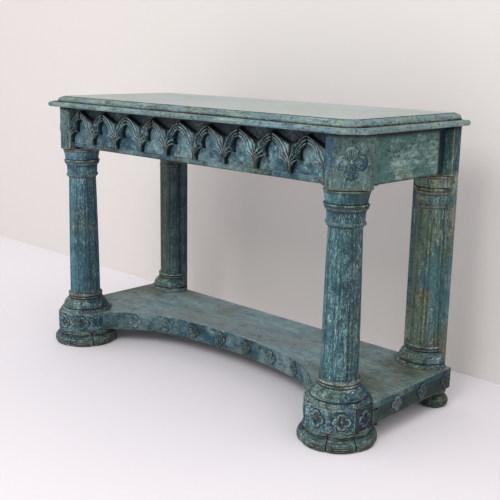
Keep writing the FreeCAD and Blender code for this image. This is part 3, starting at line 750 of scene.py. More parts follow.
def arch_lines(half_bay):
    """Three lines of the right half of an arch, from its foot to its tip, about the bay's middle.

    The inner line has two foils that meet in a cusp, the outer one is a pointed arch, and the
    border runs up between two bays and then along an ogee to the tip.
    """
    stem = half_bay - 4.5
    low_centre, low_radius = np.array([stem - 31.25, 7.0]), 31.25
    high_centre, high_radius = np.array([-3.0, 54.0]), 31.0
    apart = high_centre - low_centre
    gap = np.linalg.norm(apart)
    along = (gap ** 2 + low_radius ** 2 - high_radius ** 2) / (2 * gap)
    across = math.sqrt(low_radius ** 2 - along ** 2)
    unit = apart / gap
    cusp = low_centre + along * unit + across * np.array([unit[1], -unit[0]])
    low_end = math.atan2(*(cusp - low_centre)[::-1])
    high_start = math.atan2(*(cusp - high_centre)[::-1])
    high_end = math.acos(-high_centre[0] / high_radius)
    first = np.concatenate([[(stem, 0.0), (stem, 7.0)], arc_points(low_centre, low_radius, 0, low_end, 20)])
    second = arc_points(high_centre, high_radius, high_start, high_end, 24)
    spread = np.linspace(0, 1, 34)
    second = np.concatenate([first[-1:], second])
    inner = np.concatenate([by_length(first, spread), by_length(second, spread[1:])])
    shares = np.linspace(0, 1, len(inner))
    foot = half_bay - ARCH_SIDE
    radius = foot + ARCH_SWING
    arch = arc_points((-ARCH_SWING, ARCH_SPRING), radius, 0, math.acos(ARCH_SWING / radius), 40)
    outer = np.concatenate([[(foot, 0.0), (foot, ARCH_SPRING)], arch])
    ogee = np.array([(half_bay, 84), (57, 86), (50, 89), (43, 92.5), (36, 95.5), (28, 98.5), (20, 102),
                     (12, 106), (6, 110), (0, 114)], float)
    border = np.concatenate([[(half_bay, 0.0)], ogee])
    return inner, by_length(outer, shares), by_length(border, shares), shares


# Lanes across an arch rib: place between the lines, height over the niche floor, painted shade in the
# hollows.
ARCH_LANES = [
    (0.0, -1, 1), (0.0, 5, 0.9), (0.0, 11, 0.6), (0.0, 15.5, 0.2), (0.015, 18.0, 0),
    (0.05, 19.6, 0), (0.10, 20.0, 0), (0.16, 19.2, 0), (0.20, 17.0, 0), (0.235, 14.4, 0.5),
    (0.27, 13.2, 0.8), (0.31, 13.6, 0.5), (0.37, 15.2, 0), (0.43, 17.8, 0), (0.48, 19.4, 0),
    (0.54, 19.7, 0), (0.59, 18.4, 0), (0.63, 15.6, 0.4), (0.66, 13.4, 0.8), (0.70, 13.0, 0.9),
    (0.75, 14.8, 0.3), (0.80, 17.8, 0), (0.86, 20.2, 0), (0.93, 20.8, 0), (1.0, 19.6, 0),
    (1.05, 17.0, 0.2), (1.10, 14.6, 0.7), (1.20, 13.8, 0.5), (1.29, 15.0, 0), (1.35, 15.6, 0),
    (1.42, 14.6, 0.1), (1.52, 13.4, 0.4), (1.62, 14.4, 0.15), (1.68, 14.4, 0.25), (1.75, 13.0, 0.4),
    (1.86, 11.4, 0.6), (1.95, 9.6, 0.8), (2.0, 7.6, 1), (2.0, 4, 1), (2.0, -1, 1)]
# Height that the beads swing about.
RIB_BODY = 15.6


def arch_half(s, half_bay, strength, shade):
    """Grid of one half arch: lanes from the inner line over three beads to the border, closed behind.

    Place 0 is the inner line, 1 the outer line and 2 the border, and a lane between them is their
    mix. Heights stand out from the niche floor, and the strength says how bold they are; the beads
    fade into the narrow stem, where the lanes draw together. The shade says how dark the painted
    shade in the hollows between the beads is; towards the border they are all equally dark, and
    painted shade also grows towards the tip, under the lip, and at the border. The second value
    gives 1 on the rim over the arch, where the carver's chips go.
    """
    inner, outer, border, shares = arch_lines(half_bay)
    lane = np.array(ARCH_LANES)
    place = lane[:, 0, None, None]
    flat = np.where(place <= 1, inner[None] * (1 - place) + outer[None] * place,
                    outer[None] * (2 - place) + border[None] * (place - 1))
    across, height, soot = lane.T[:, :, None]
    fade = strength * (0.35 + 0.75 * step_up(shares, 0.02, 0.3))
    beads = np.where(height > 12, RIB_BODY + (height - RIB_BODY) * fade[None], height)
    crown = 1.2 * step_up(shares, 0.75, 1.0)[None] * (height > 12)
    depth = s.column_y - s.niche_floor - (beads + crown)
    grid = np.stack([flat[..., 0], depth, s.band_high + flat[..., 1]], 2)
    # Painted shade under the lip: it grows towards the tip and is strongest out at the border.
    high = step_up(flat[..., 1], 66, 112) * (0.25 + 0.9 * step_up(across, 1.0, 1.6))
    rim = step_up(across, 1.35, 1.9) * step_up(flat[..., 1], 60, 80)
    return grid, rim, (soot + high) * (shade + (1 - shade) * step_up(across, 1.3, 1.7))


def rib_end(s):
    """Distance from a column's axis in to the side of the first rib."""
    return s.block_reach - s.rib_face + s.block_flat / 2


def bay_pitch(s):
    """Width of one arch: the length between the outermost ribs over the number of arches."""
    return 2 * (s.column_x - rib_end(s)) / s.bay_count


def build_arcade(s, material):
    """Carved strip: the half arch and its mirror image, repeated along the frieze.

    The left half of each arch is bold and takes the full painted shade; the right half is low and
    rubbed, takes less of it and a paler tint, as painted light. Sine waves with random starts move
    the ribs sideways and outwards, and chip the rim.
    """
    pitch = bay_pitch(s)
    halves = {1: arch_half(s, pitch / 2, 0.2, 0.55), -1: arch_half(s, pitch / 2, 1.2, 1.0)}
    skin = Skin()
    rng = np.random.default_rng(7)
    for bay in range(s.bay_count):
        centre = (bay - (s.bay_count - 1) / 2) * pitch
        for sign, half in halves.items():
            grid, rim, soot = (part[:, ::sign] for part in half)
            grid = grid * np.array([sign, 1, 1]) + np.array([centre, 0, 0])
            x, y, z = np.moveaxis(grid, 2, 0)
            proud = y < s.column_y - s.niche_floor - 2
            sway, swell = (np.sin(z * 0.14 + x * 0.09 + rng.uniform(0, 6)) * proud for _ in range(2))
            x += sway * (np.abs(x - centre) < pitch / 2 - 6)
            y += swell
            chips = np.sin(x * 0.42 + rng.uniform(0, 6)) + np.sin(x * 0.93 + rng.uniform(0, 6))
            z += 1.4 * swell * step_up(z - s.band_high, 60, 80)
            z -= (1.0 + 0.8 * chips) * rim
            # The right halves take the paler second colour and the left halves the darker body: painted light
            # and shade.
            skin.add(grid, loop=True, soot=soot, tint=0.6 * sign)
    skin.make("tracery_carved", material, "tracery_paint", ["tracery_strip"], reach=2.6, edge=2.2)


def build_frieze(s, material, low_paint):
    """Board behind the arcade, darker outside the pointed arches, and the plain band below."""
    pitch = bay_pitch(s)
    reach = s.column_x - rib_end(s)
    front = s.column_y - s.niche_floor
    back = front + 22
    levels = np.linspace(s.lip_low, s.frieze_low, 30)
    section = np.array([(back, s.frieze_low), (back, s.lip_low)] + [(front, z) for z in levels])
    grid = straight(section, np.linspace(-reach, reach, s.bay_count * 26 + 1))
    bays = (grid[..., 0] / pitch + 0.5 * ((s.bay_count + 1) % 2)) % 1
    off_middle = np.minimum(bays, 1 - bays) * pitch
    height = grid[..., 2] - s.band_high
    radius = pitch / 2 - ARCH_SIDE + ARCH_SWING
    arch = np.sqrt(np.maximum(radius ** 2 - (height - ARCH_SPRING) ** 2, 0)) - ARCH_SWING
    # Painted shade: dark outside the pointed arches, in the spandrels, and towards the top under the lip.
    outside = step_up(off_middle - np.where(height > ARCH_SPRING, arch, pitch / 2), -12, 4)
    soot = np.clip(outside + step_up(height, 70, 100), 0, 1) * 0.6
    skin = Skin().add(grid, loop=True, cap_columns=True, soot=soot)
    skin.make("frieze_board_aged", material, "frieze_paint", ["frieze_board"])
    face = front - 4.0
    top = s.band_high
    section = softened([(front, s.frieze_low, 0), (front, top, 0), (front - 1, top - 0.5, 1.0),
                        (face, top - 9, 5.0), (face, s.frieze_low, 1.5)], True, 3, 3.0)
    soot = 0.6 * (section[:, 1] < s.frieze_low + 3)[:, None]
    grid = straight(section, np.linspace(-reach, reach, 60))
    skin = Skin().add(grid, loop=True, cap_columns=True, soot=soot)
    skin.make("frieze_band_aged", low_paint, "frieze_paint", ["frieze_band"], edge=1.5)


def canted_plan(s):
    """Plan of the right-hand corner block about the column's axis, anticlockwise.

    A square with its corners cut off. Its inner front corner is cut back to the side of the first
    rib, and behind that to a level inside the board, so that the niche beside it is open.
    """
    f, r = s.block_flat / 2, s.block_reach
    inside = s.niche_floor - 18
    rib = rib_end(s)
    shape = [(f, -r, 3), (r, -f, 3), (r, f, 3), (f, r, 3), (-f, r, 3), (-r, f, 3), (-r, -f, 0.3),
             (inside - f - r, -inside, 0.3), (-rib, -inside, 0.3), (-rib, -s.rib_face, 0.3), (-f, -r, 3)]
    return [(s.column_x + px, s.column_y + py, soft) for px, py, soft in shape]


# Reliefs of the quatrefoils, from the middle out and round to the back: share of the outline, rise, painted
# shade in the sunk rings.
BLOCK_RELIEF = [
    (0.0, 3.2, 0), (0.08, 3.2, 0), (0.13, 2.4, 0.1), (0.19, 1.5, 0.3), (0.28, 2.0, 0), (0.42, 2.5, 0),
    (0.56, 2.4, 0), (0.68, 1.8, 0), (0.76, 1.4, 0.2), (0.81, 2.4, 0), (0.86, 3.4, 0), (0.91, 3.8, 0),
    (0.96, 3.2, 0), (1.0, 1.6, 0), (1.03, 0.3, 0.4), (1.10, 0.15, 0.2), (1.16, -0.6, 0), (1.1, -2, 0),
    (0.0, -2, 0)]
EDGE_RELIEF = [
    (0.0, 3.4, 0), (0.10, 3.0, 0), (0.18, 1.9, 0.15), (0.34, 1.5, 0.25), (0.55, 1.5, 0.25), (0.66, 2.1, 0.1),
    (0.76, 3.4, 0), (0.85, 4.0, 0), (0.93, 3.4, 0), (1.0, 1.6, 0), (1.04, 0.3, 0.5), (1.12, 0.1, 0.2),
    (1.2, -0.6, 0), (1.1, -2, 0), (0.0, -2, 0)]


def build_blocks(s, material, carving):
    """Corner blocks under the top, and the quatrefoil on the outer front canted face of each."""
    foils = Skin()
    out = (s.block_reach + s.block_flat / 2) / math.sqrt(2)
    centre = (s.capital_high + s.lip_low) / 2
    levels = (centre - 30, centre, centre + 30, s.lip_low - 20)
    foil_level = (s.frieze_low + s.lip_low) / 2 - 5
    for name, side in SIDES:
        x = side * s.column_x
        node = "corner_block_" + name
        # Each block darkens towards the top: painted shade under the lip.
        skin = slab(flip(canted_plan(s), side), s.capital_high + 0.6, s.lip_low, 2.4, levels,
                    soot=under_lip(s, 20, 0.8), tint=lambda grid: np.clip((grid[..., 0] - x) / 50, -1, 1))
        skin.make(node + "_aged", material, "block_paint", [node])
        facing = -math.pi / 2 + side * QUARTER
        place = (x + out * math.cos(facing), s.column_y + out * math.sin(facing), foil_level)
        quatrefoil(foils, place, facing, (39, 43), 0.34, 2.2, BLOCK_RELIEF, worn=0.5, flutes=0.7, turn=160)
    foils.make("block_quatrefoils", carving, "carving_paint", ["block_carvings"], reach=2.0, edge=1.2)


def build_sides(s, material, rear_paint):
    """Side aprons, mitred to the corner blocks in front, and the rear blocks over the half columns."""
    outer = s.column_x + s.apron_face
    inner = outer - s.apron_depth
    meet = s.column_y + s.block_reach + s.block_flat / 2 - s.apron_face + 0.4
    apron = [(outer, meet, 0.3), (outer, s.apron_end, 2.0), (inner, s.apron_end, 1.0),
             (inner, meet + s.apron_depth, 0.3)]
    front = s.back_y - s.rear_block_depth
    block = board_plan(s.column_x - s.pilaster_half, s.column_x + s.pilaster_half, front, s.back_y, 1.5, 1.0)
    levels = (s.lip_low - 55, s.lip_low - 26)
    shade = under_lip(s, 26)
    for name, side in SIDES:
        node = "side_apron_" + name
        skin = slab(flip(apron, side), s.frieze_low, s.lip_low, 1.8, levels, soot=shade, tint=-0.12)
        skin.make(node + "_aged", material, "frieze_paint", [node])
        node = "rear_block_" + name
        skin = slab(flip(block, side), s.capital_high + 0.4, s.lip_low, 1.5, levels, soot=shade,
                    tint=lambda grid: 0.9 - 1.6 * step_up(grid[..., 1], front, front + 5))
        skin.make(node + "_aged", rear_paint, "frieze_paint", [node])


# ---- columns ------------------------------------------------------------------------------
# Column profiles from the foot up: apothem, rise over a level, radius of the softened corner,
# roundness, tint.
CAPITAL_FOOT = [
    (20, 0, 0, 0, 0), (48.5, 0, 1.0, 0, 0), (49.5, 2.5, 1.5, 0, 0), (52.0, 4.0, 1, 0, 0),
    (54.8, 6.0, 2.0, 0.1, 0), (54.8, 11, 2.0, 0.1, 0), (52.0, 13.0, 1.0, 0, 0), (50.8, 18, 3.0, 0, -0.3)]
CAPITAL_BEADS = [
    (52.0, -14, 3.0, 0, -0.3), (54.0, -11.5, 1.0, 0, 0), (55.0, -7.5, 1.5, 0, 0), (58.6, -6.5, 1.2, 0.1, 0),
    (59.6, -3.0, 1.4, 0.1, 0), (58.4, -0.6, 0.8, 0.1, 0), (60.6, 0.6, 1.0, 0.1, 0), (61.8, 4.0, 1.6, 0.1, 0),
    (60.6, 7.2, 1.2, 0, 0), (56.5, 8.5, 1.4, 0, 0.2), (57.4, 20, 8, 0, 0.2)]
CAPITAL_HEAD = [
    (61.5, -10, 5, 0, 0.2), (63.4, -7.5, 1.2, 0, 0), (63.4, -4.2, 1.0, 0, 0), (59.5, -3.6, 0.6, 0, 0),
    (59.5, 0, 0, 0, 0), (20, 0, 0, 0, 0)]
BASE_FOOT = [
    (30, 0, 0, 0, 0), (89.6, 0, 1.0, 0, 0), (89.8, 5.5, 2.5, 0, 0), (82.5, 11.4, 2, 0.2, 0),
    (78.0, 12.0, 0.6, 0.9, 0), (77.5, 13.2, 0.6, 1, 0), (79.8, 15.0, 1.5, 1, 0), (79.6, 21, 5, 1, 0),
    (76.0, 31, 8, 1, 0.2), (66.5, 41, 8, 1, 0.3), (61.0, 45.2, 2.0, 1, 0.3), (59.4, 46.2, 0.6, 1, 0),
    (59.6, 47.4, 0.6, 1, -0.6), (61.4, 48.4, 1.2, 1, -0.9), (61.4, 52.6, 1.4, 1, -0.9),
    (58.6, 53.8, 0.8, 1, 0), (57.6, 55.0, 0.8, 1, 0), (60.2, 56.4, 1.0, 1, 0.4), (62.2, 59.0, 2.2, 1, 0.5),
    (62.0, 64.0, 2.4, 1, 0.5)]
BASE_HEAD = [(58.0, -0.6, 1.2, 1, 0.3), (54, 0, 0.6, 0.5, 0), (30, 0, 0, 0, 0)]


def rows_from(level, rows):
    """Profile rows with their rises measured from a level."""
    return [(apothem, level + rise, *rest) for apothem, rise, *rest in rows]


def capital_profile(s):
    """Lower bead, neck, double bead and flared bell, from the foot up."""
    beads = rows_from(s.capital_high - 48, CAPITAL_BEADS)
    rows = rows_from(s.capital_low, CAPITAL_FOOT) + beads + rows_from(s.capital_high, CAPITAL_HEAD)
    return softened(rows, False, 3, 4.0)


def base_profile(s):
    """Sloping eight-sided band, round cushion, thin ring, groove and astragal, from the foot up."""
    return softened(rows_from(s.platform_high, BASE_FOOT) + rows_from(s.base_high, BASE_HEAD), False, 4, 4.0)


def shaft_profile(s):
    """Shaft that tapers upwards in a line and swells by a parabola that is nothing at its two ends."""
    t = np.linspace(0, 1, 26)
    apothem = s.shaft_foot - s.shaft_taper * t - s.shaft_swell * (2 * t - 1) ** 2 + s.shaft_swell
    height = s.base_high + (s.capital_low - s.base_high) * t
    rows = np.stack([apothem, height, np.zeros_like(t), 0.15 * np.sin(3 * math.pi * t)], 1)
    inwards = np.array([[20, 0, 0, 0]])
    return np.concatenate([rows[:1] - inwards, rows, rows[-1:] - inwards])


def build_columns(s, materials):
    """Two whole columns in front and two half columns against pilasters, each as base, shaft and capital."""
    # part, profile, apothem of its plan, softened corner, painted shade beside the arrises
    parts = (("base", base_profile(s), 57.0, 9.0, 0.0), ("shaft", shaft_profile(s), 44.0, 3.6, 0.62),
             ("capital", capital_profile(s), 48.0, 5.0, 0.0))
    board = s.back_y - s.pilaster_depth
    for row, y, clip in (("front", s.column_y, math.inf), ("rear", s.back_y - s.rear_axis, board + 0.6)):
        for name, side in SIDES:
            for part, profile, apothem, corner, glaze_and_shade in parts:
                node = "%s_%s_%s" % (row, part, name)
                skin = turned(profile, side * s.column_x, y, apothem, corner, clip, glaze_and_shade)
                skin.make(node + "_carved", materials[part if part == "base" else row, side], "column_paint",
                          [node], reach=3.0, edge=1.6)
    levels = (s.platform_high + 90, s.capital_high - 120, s.capital_high - 20)
    for name, side in SIDES:
        x = side * s.column_x
        plan = board_plan(x - s.pilaster_half, x + s.pilaster_half, board, s.back_y, 1.5, 1.0)
        skin = slab(plan, s.platform_high, s.capital_high, 1.2, levels, tint=-0.5, rub=-0.6)
        node = "pilaster_" + name
        skin.make(node + "_aged", materials["rear", side], "column_paint", [node], edge=0.4)


# ---- platform -----------------------------------------------------------------------------
def curve_lean(s):
    """Angle at which the front edge's flat middle arc runs into its tighter end arcs."""
    return math.asin(s.middle_reach / s.middle_radius)


def curve_place(s, distance):
    """Points and outward angles on the hollowed front edge, given distances along it from the middle.

    A flat middle arc runs into a tighter arc at each end, tangent to it: a point is its arc's
    centre plus the radius turned by the distance along the arc over the radius.
    """
    lean = curve_lean(s)
    centre = s.column_y + s.bay_depth - s.middle_radius
    step = s.middle_radius - s.end_radius
    far = np.abs(distance)
    first = far <= lean * s.middle_radius
    turn = np.where(first, far / s.middle_radius, lean + (far - lean * s.middle_radius) / s.end_radius)
    radius = np.where(first, s.middle_radius, s.end_radius)
    x = np.where(first, 0, step * math.sin(lean)) + radius * np.sin(turn)
    y = np.where(first, centre, centre + step * math.cos(lean)) + radius * np.cos(turn)
    sign = np.sign(distance)
    return np.stack([sign * x, y], -1), -math.pi / 2 - sign * turn


def front_reach(s):
    """Distance along the front edge from its middle to a plinth's inner side."""
    lean = curve_lean(s)
    step = s.middle_radius - s.end_radius
    last = math.asin((s.column_x - s.plinth_apothem - step * math.sin(lean)) / s.end_radius)
    return lean * s.middle_radius + (last - lean) * s.end_radius


def build_platform(s, material, edge, side_edge):
    """Platform board, notched round the plinths, and the rails under it: front, sides and back."""
    a, side, rail_top = s.plinth_apothem, s.column_x + s.platform_side, s.platform_high - s.board_edge
    half_face = a * math.tan(QUARTER / 2)
    x, y = s.column_x, s.column_y
    meet = y + a + half_face - s.platform_side
    notch = [(x - a, y + half_face), (x - half_face, y + a), (x + half_face, y + a), (side, meet),
             (side, s.back_y)]
    reach = front_reach(s)
    curve, _ = curve_place(s, np.concatenate([[-reach], np.linspace(-reach + 24, reach - 24, 85), [reach]]))
    outline = np.array([(-px, py) for px, py in reversed(notch)] + curve.tolist() + notch)
    top = s.platform_high
    profile = softened([(-6, rail_top, 0), (0, rail_top, 0.3), (0, top, 3.0), (-6, top, 0)], False, 4, 7.0)
    grid = wrapped(outline, profile)
    split = int(np.argmax(profile[:, 1] > top - 2.0))
    flat = np.where(profile[:, 0] < -5.5, -1.0, 0.0)[:, None]
    joint = np.where(profile[:, 1] < rail_top + 4, -1.0, 0.0)[:, None]
    # The board's edge at the sides, beyond the columns, is darkened: painted shade.
    skin = Skin().add(grid[:split + 1], around=True, cap_rows="first", paint=1, rub=joint[:split + 1],
                      soot=0.3 * (np.abs(outline[:, 0]) > x + 1)[None])
    skin.add(grid[split:], around=True, cap_rows="last", rub=flat[split:])
    skin.make("platform_board_aged", [material, edge], "platform_paint", ["platform_board"], reach=3.0,
              edge=1.4)
    low, thick = s.platform_low, s.rail_depth
    inner, back = side - thick, s.back_y - thick
    section = [(-thick, low, 0), (0, low, 2.5), (0, rail_top, 0.3), (-thick, rail_top, 0)]
    section = softened(section, True, 3, 6.0)
    curve, _ = curve_place(s, np.linspace(-reach - 6, reach + 6, 121))
    # The front rail darkens towards its left end: painted shade.
    skin = Skin().add(wrapped(curve, section, mitres(curve, False)), loop=True, cap_columns=True,
                      soot=0.32 * step_up(-curve[:, 0], 100, 450)[None],
                      rub=np.where(section[:, 1] > rail_top - 4, -1.0, 0.0)[:, None])
    skin.make("platform_front_rail_aged", edge, "platform_paint", ["platform_front_rail"])
    plan = [(side, meet + 0.4, 0.3), (side, back, 0.3), (inner, back, 0.3), (inner, meet + 0.4 + thick, 0.3)]
    for name, sign in SIDES:
        node = "platform_side_rail_" + name
        skin = slab(flip(plan, sign), low, rail_top, 1.2,
                    rub=lambda grid: np.where(grid[..., 2] > rail_top - 4, -1.0, 0.0))
        skin.make(node + "_aged", side_edge, "platform_paint", [node])
    skin = slab(board_plan(-side, side, back, s.back_y, 0.3, 1.5), low, rail_top, 1.2)
    skin.make("platform_back_rail_aged", side_edge, "platform_paint", ["platform_back_rail"])


def edge_foil(skin, centre, facing):
    """Add one quatrefoil of the platform's edge to a skin."""
    quatrefoil(skin, centre, facing, (24, 23.5), 0.46, 2.3, EDGE_RELIEF)


def build_edge_foils(s, material):
    """Eight quatrefoils on the platform's hollowed front and three on each side.

    Those in front stand out by 0.4 of the rise of the curve over their half width.
    """
    level = (s.platform_low + s.platform_high) / 2 - 1
    stand = 0.4 * 24 ** 2 / 2 / s.end_radius
    skin = Skin()
    for k in range(8):
        place, facing = curve_place(s, (k - 3.5) * s.foil_pitch)
        edge_foil(skin, (place[0] + stand * math.cos(facing), place[1] + stand * math.sin(facing), level),
                  float(facing))
    skin.make("front_edge_quatrefoils", material, "carving_paint", ["front_edge_carvings"], reach=2.2,
              edge=2.0)
    skin = Skin()
    for k in range(3):
        for _, side in SIDES:
            y = s.back_y - s.side_foil_end - k * s.side_foil_pitch
            edge_foil(skin, (side * (s.column_x + s.platform_side), y, level), 0.0 if side > 0 else math.pi)
    skin.make("side_edge_quatrefoils", material, "carving_paint", ["side_edge_carvings"], reach=2.2, edge=2.0)


# ---- plinths and feet ---------------------------------------------------------------------
def build_plinths(s, material):
    """Eight-sided plinths with a raised rib at each corner and a quatrefoil on each open face.

    Each face is pushed in a little, and a bell beside each corner lifts the rib.
    """
    a = s.plinth_apothem
    half_face = a * math.tan(QUARTER / 2)
    shares = np.array([-1.0, -0.94, -0.90, -0.86, -0.82, -0.6, -0.3, 0, 0.3, 0.6, 0.82, 0.86, 0.90, 0.94])
    across = shares * half_face
    sunk = 1.4
    lift = 1.6 * np.exp(-((np.abs(across) - half_face + 3.2) / 1.9) ** 2) - sunk
    turn = np.arange(8) * QUARTER
    normal = np.stack([np.cos(turn), np.sin(turn)], 1)[:, None]
    along = np.stack([-np.sin(turn), np.cos(turn)], 1)[:, None]
    ring = (normal * (a + lift[None, :, None]) + along * across[None, :, None]).reshape(-1, 2)
    faces = np.repeat(turn, len(across))
    low, high = s.foot_high, s.platform_high
    profile = slab_profile(low, high, 2.0, (low + 20, low + 45))
    for name, side in SIDES:
        x, y = side * s.column_x, s.column_y
        # Painted light and shade: faces turned to the left and front take the lighter blue, faces to the
        # right and back the darker teal, and the outer side face is darkened further.
        skin = Skin().add(wrapped(ring + np.array([x, y]), profile), around=True, cap_rows=True,
                          tint=-np.cos(faces - math.radians(225))[None],
                          soot=0.62 * np.clip(side * np.cos(faces), 0, 1)[None] ** 3)
        for k in (-3, -2, -1, 0):
            facing = k * QUARTER if side > 0 else math.pi - k * QUARTER
            place = (x + (a - sunk) * math.cos(facing), y + (a - sunk) * math.sin(facing), (low + high) / 2)
            # The outer side face's quatrefoil takes more painted shade and less wear.
            marks = {"worn": 0.45, "sunk": 0.2} if k else {"worn": 0.1, "sunk": 0.4}
            quatrefoil(skin, place, facing, (27, 25.5), 0.46, 2.3, EDGE_RELIEF, **marks)
        node = "plinth_" + name
        skin.make(node + "_carved", material, "plinth_paint", [node], reach=2.6, edge=2.2)


def lobed_foot(profile, x, y, groove, bulge, sag, ridge):
    """Skin of a foot of eight lobes parted by grooves.

    With d the angle from the nearest groove over half a lobe, the radius is the profile's, less a
    narrow bell of the groove's depth, less a bulge that falls away to the groove, plus soft ridges
    along the height. The ledge's rows sag in the middle of each lobe. The profile's last column
    says how much of all this a row takes.
    """
    rows = by_height(softened(profile, False, 4, 5.0), 1.6)
    across = np.sin((np.arange(26) / 26 - 0.5) * math.pi)
    angle = ((np.arange(8)[:, None] * 2 + across[None]) * QUARTER / 2).reshape(-1)
    d = 1 - np.abs(np.tile(across, 8))[None]
    reach, level, share = rows.T[:, :, None]
    dip = groove * np.exp(-(d / 0.045) ** 2) + bulge * (1 - d) ** 2
    waves = ridge * np.sin(level * 1.05 + 0.8 * np.sin(4 * angle)) * step_up(d, 0.15, 0.5)
    radius = reach - (dip - waves) * share
    height = level - sag * d ** 2 * np.exp(-((level - level[-1] + 9) / 6) ** 2)
    grid = np.stack([x + radius * np.cos(angle), y + radius * np.sin(angle), height], 2)
    # The grooves between the lobes are darkened: painted shade in the creases.
    return Skin().add(grid, around=True, cap_rows=True, soot=0.5 * np.exp(-(d / 0.03) ** 2) * share,
                      tint=0.2 * np.cos(angle)[None])


def by_height(rows, pitch):
    """A profile sampled again so that no two of its points are further apart than the pitch."""
    gone = np.concatenate([[0], np.cumsum(np.linalg.norm(np.diff(rows[:, :2], axis=0), axis=1))])
    fine = np.union1d(gone, np.arange(0, gone[-1], pitch))
    fine = fine[np.concatenate([[True], np.diff(fine) > 0.15])]
    return np.stack([np.interp(fine, gone, rows[:, k]) for k in range(rows.shape[1])], 1)


# Profiles of the feet: distance inside the foot's radius, height (over the floor, or from the foot's
# top down), softened corner, share of the lobes.
SKIRT = [(-30, 0, 0, 0), (-3, 0, 2.5, 1), (0, 6, 4, 1), (0, 20, 6, 1), (-5, 27, 4, 1), (-13, 33, 4, 0.9),
         (-17.5, 38.5, 2, 0.7), (-19.5, 41, 1, 0.6), (-15.5, 43, 1.4, 0.5), (-15.2, 47, 1.6, 0.4)]
SKIRT_TOP = [(-17.5, -2.0, 1.0, 0.2), (-19, 0, 0.4, 0), (-40, 0, 0, 0)]
BUN = [(-25, 0, 0, 0), (-9, 0, 2.0, 0.7), (-1, 10, 8, 1), (0, 17, 6, 1), (-3, 26, 7, 1), (-11, 35, 4, 0.8),
       (-13.5, 38.5, 1.5, 0.3), (-12.5, 42.5, 1.5, 0.1), (-9.5, 45.5, 1.2, 0)]
BUN_TOP = [(-9, 0, 0, 0), (-25, 0, 0, 0)]


def foot_profile(radius, top, lower, upper):
    """Profile of a foot of this radius up to this height."""
    return [(radius + a, b, *c) for a, b, *c in lower] + [(radius + a, top + b, *c) for a, b, *c in upper]


def build_feet(s, material, back_paint):
    """Two broad lobed feet under the plinths and two small bun feet at the back."""
    skirt = foot_profile(s.foot_radius, s.foot_high, SKIRT, SKIRT_TOP)
    bun = foot_profile(s.back_foot_radius, s.platform_low, BUN, BUN_TOP)
    for name, side in SIDES:
        node = "front_foot_" + name
        skin = lobed_foot(skirt, side * s.column_x, s.column_y, 4.5, 2.0, 3.6, 0.3)
        skin.make(node + "_carved", material, "foot_paint", [node], reach=3.0, sharp=60)
        node = "back_foot_" + name
        skin = lobed_foot(bun, side * s.back_foot_x, s.back_foot_y, 3.0, 1.6, 0.0, 0.2)
        skin.make(node + "_carved", back_paint, "foot_paint", [node], reach=3.0, sharp=60)


# ---- stage --------------------------------------------------------------------------------
# The studio, in metres, degrees and watts. Yaw turns the camera to the left, and pitch tilts it down.
STAGE_REACH, WALL_AT, WALL_HIGH = 9.0, 0.535, 6.0
CAMERA_AT = (1.989443, -1.994686, 1.066305)
CAMERA_YAW, CAMERA_PITCH, CAMERA_ROLL = 43.7121, 12.9756, 1.0071
CAMERA_LENS, CAMERA_SENSOR = 62.24, 36.0
SKY_COLOUR, SKY_STRENGTH = (1.0, 0.985, 0.97, 1.0), 1.03


def stage_sheet(name, near, far, high, material):
    """A plain sheet of the studio, from its near lower edge to its far upper edge."""
    r = STAGE_REACH
    mesh = bpy.data.meshes.new(name)
    mesh.from_pydata([(-r, near, 0), (r, near, 0), (r, far, high), (-r, far, high)], [], [(0, 1, 2, 3)])
    mesh.materials.append(material)
    sheet = linked(name, mesh)


def stage_paint(name, code, one_sided=False):
    """Matt studio paint with a very faint unevenness; a one-sided sheet is clear to a viewer behind it."""
    b = Board(name)
    cloud = b.noise(b.place(), 0.9, 2.0)
    coat = b.mix(cloud * 0.06, code, tuple(0.9 * c for c in code))
    behind = None
    if one_sided:
        behind = b.node("NewGeometry", {}, {}, "Backfacing") * b.node("LightPath", {}, {}, "Is Camera Ray")
    return b.finish({"Base Color": coat, "Roughness": 0.9, "Specular IOR Level": 0.1}, behind)


def lamp(name, place, target, size, power, tone):
    """A soft square lamp that looks at a target."""
    light = bpy.data.lights.new(name, "AREA")
    light.shape = "RECTANGLE"
    light.size, light.size_y = size
    light.energy = power
    light.color = tone
    made = linked(name, light)
    made.location = place
    made.rotation_euler = (Vector(place) - Vector(target)).to_track_quat("Z", "Y").to_euler()


def camera_turn():
    """Rotation of the camera: turned left by the yaw, tilted down by the pitch and rolled about its view."""
    yaw, pitch, roll = (math.radians(a) for a in (CAMERA_YAW, CAMERA_PITCH, CAMERA_ROLL))
    ahead = np.array([-math.sin(yaw) * math.cos(pitch), math.cos(yaw) * math.cos(pitch), -math.sin(pitch)])
    right = np.array([math.cos(yaw), math.sin(yaw), 0])
    up = np.cross(right, ahead)
    across = math.cos(roll) * right + math.sin(roll) * up
    upright = -math.sin(roll) * right + math.cos(roll) * up
    return Matrix(np.stack([across, upright, -ahead], 1).tolist()).to_4x4()


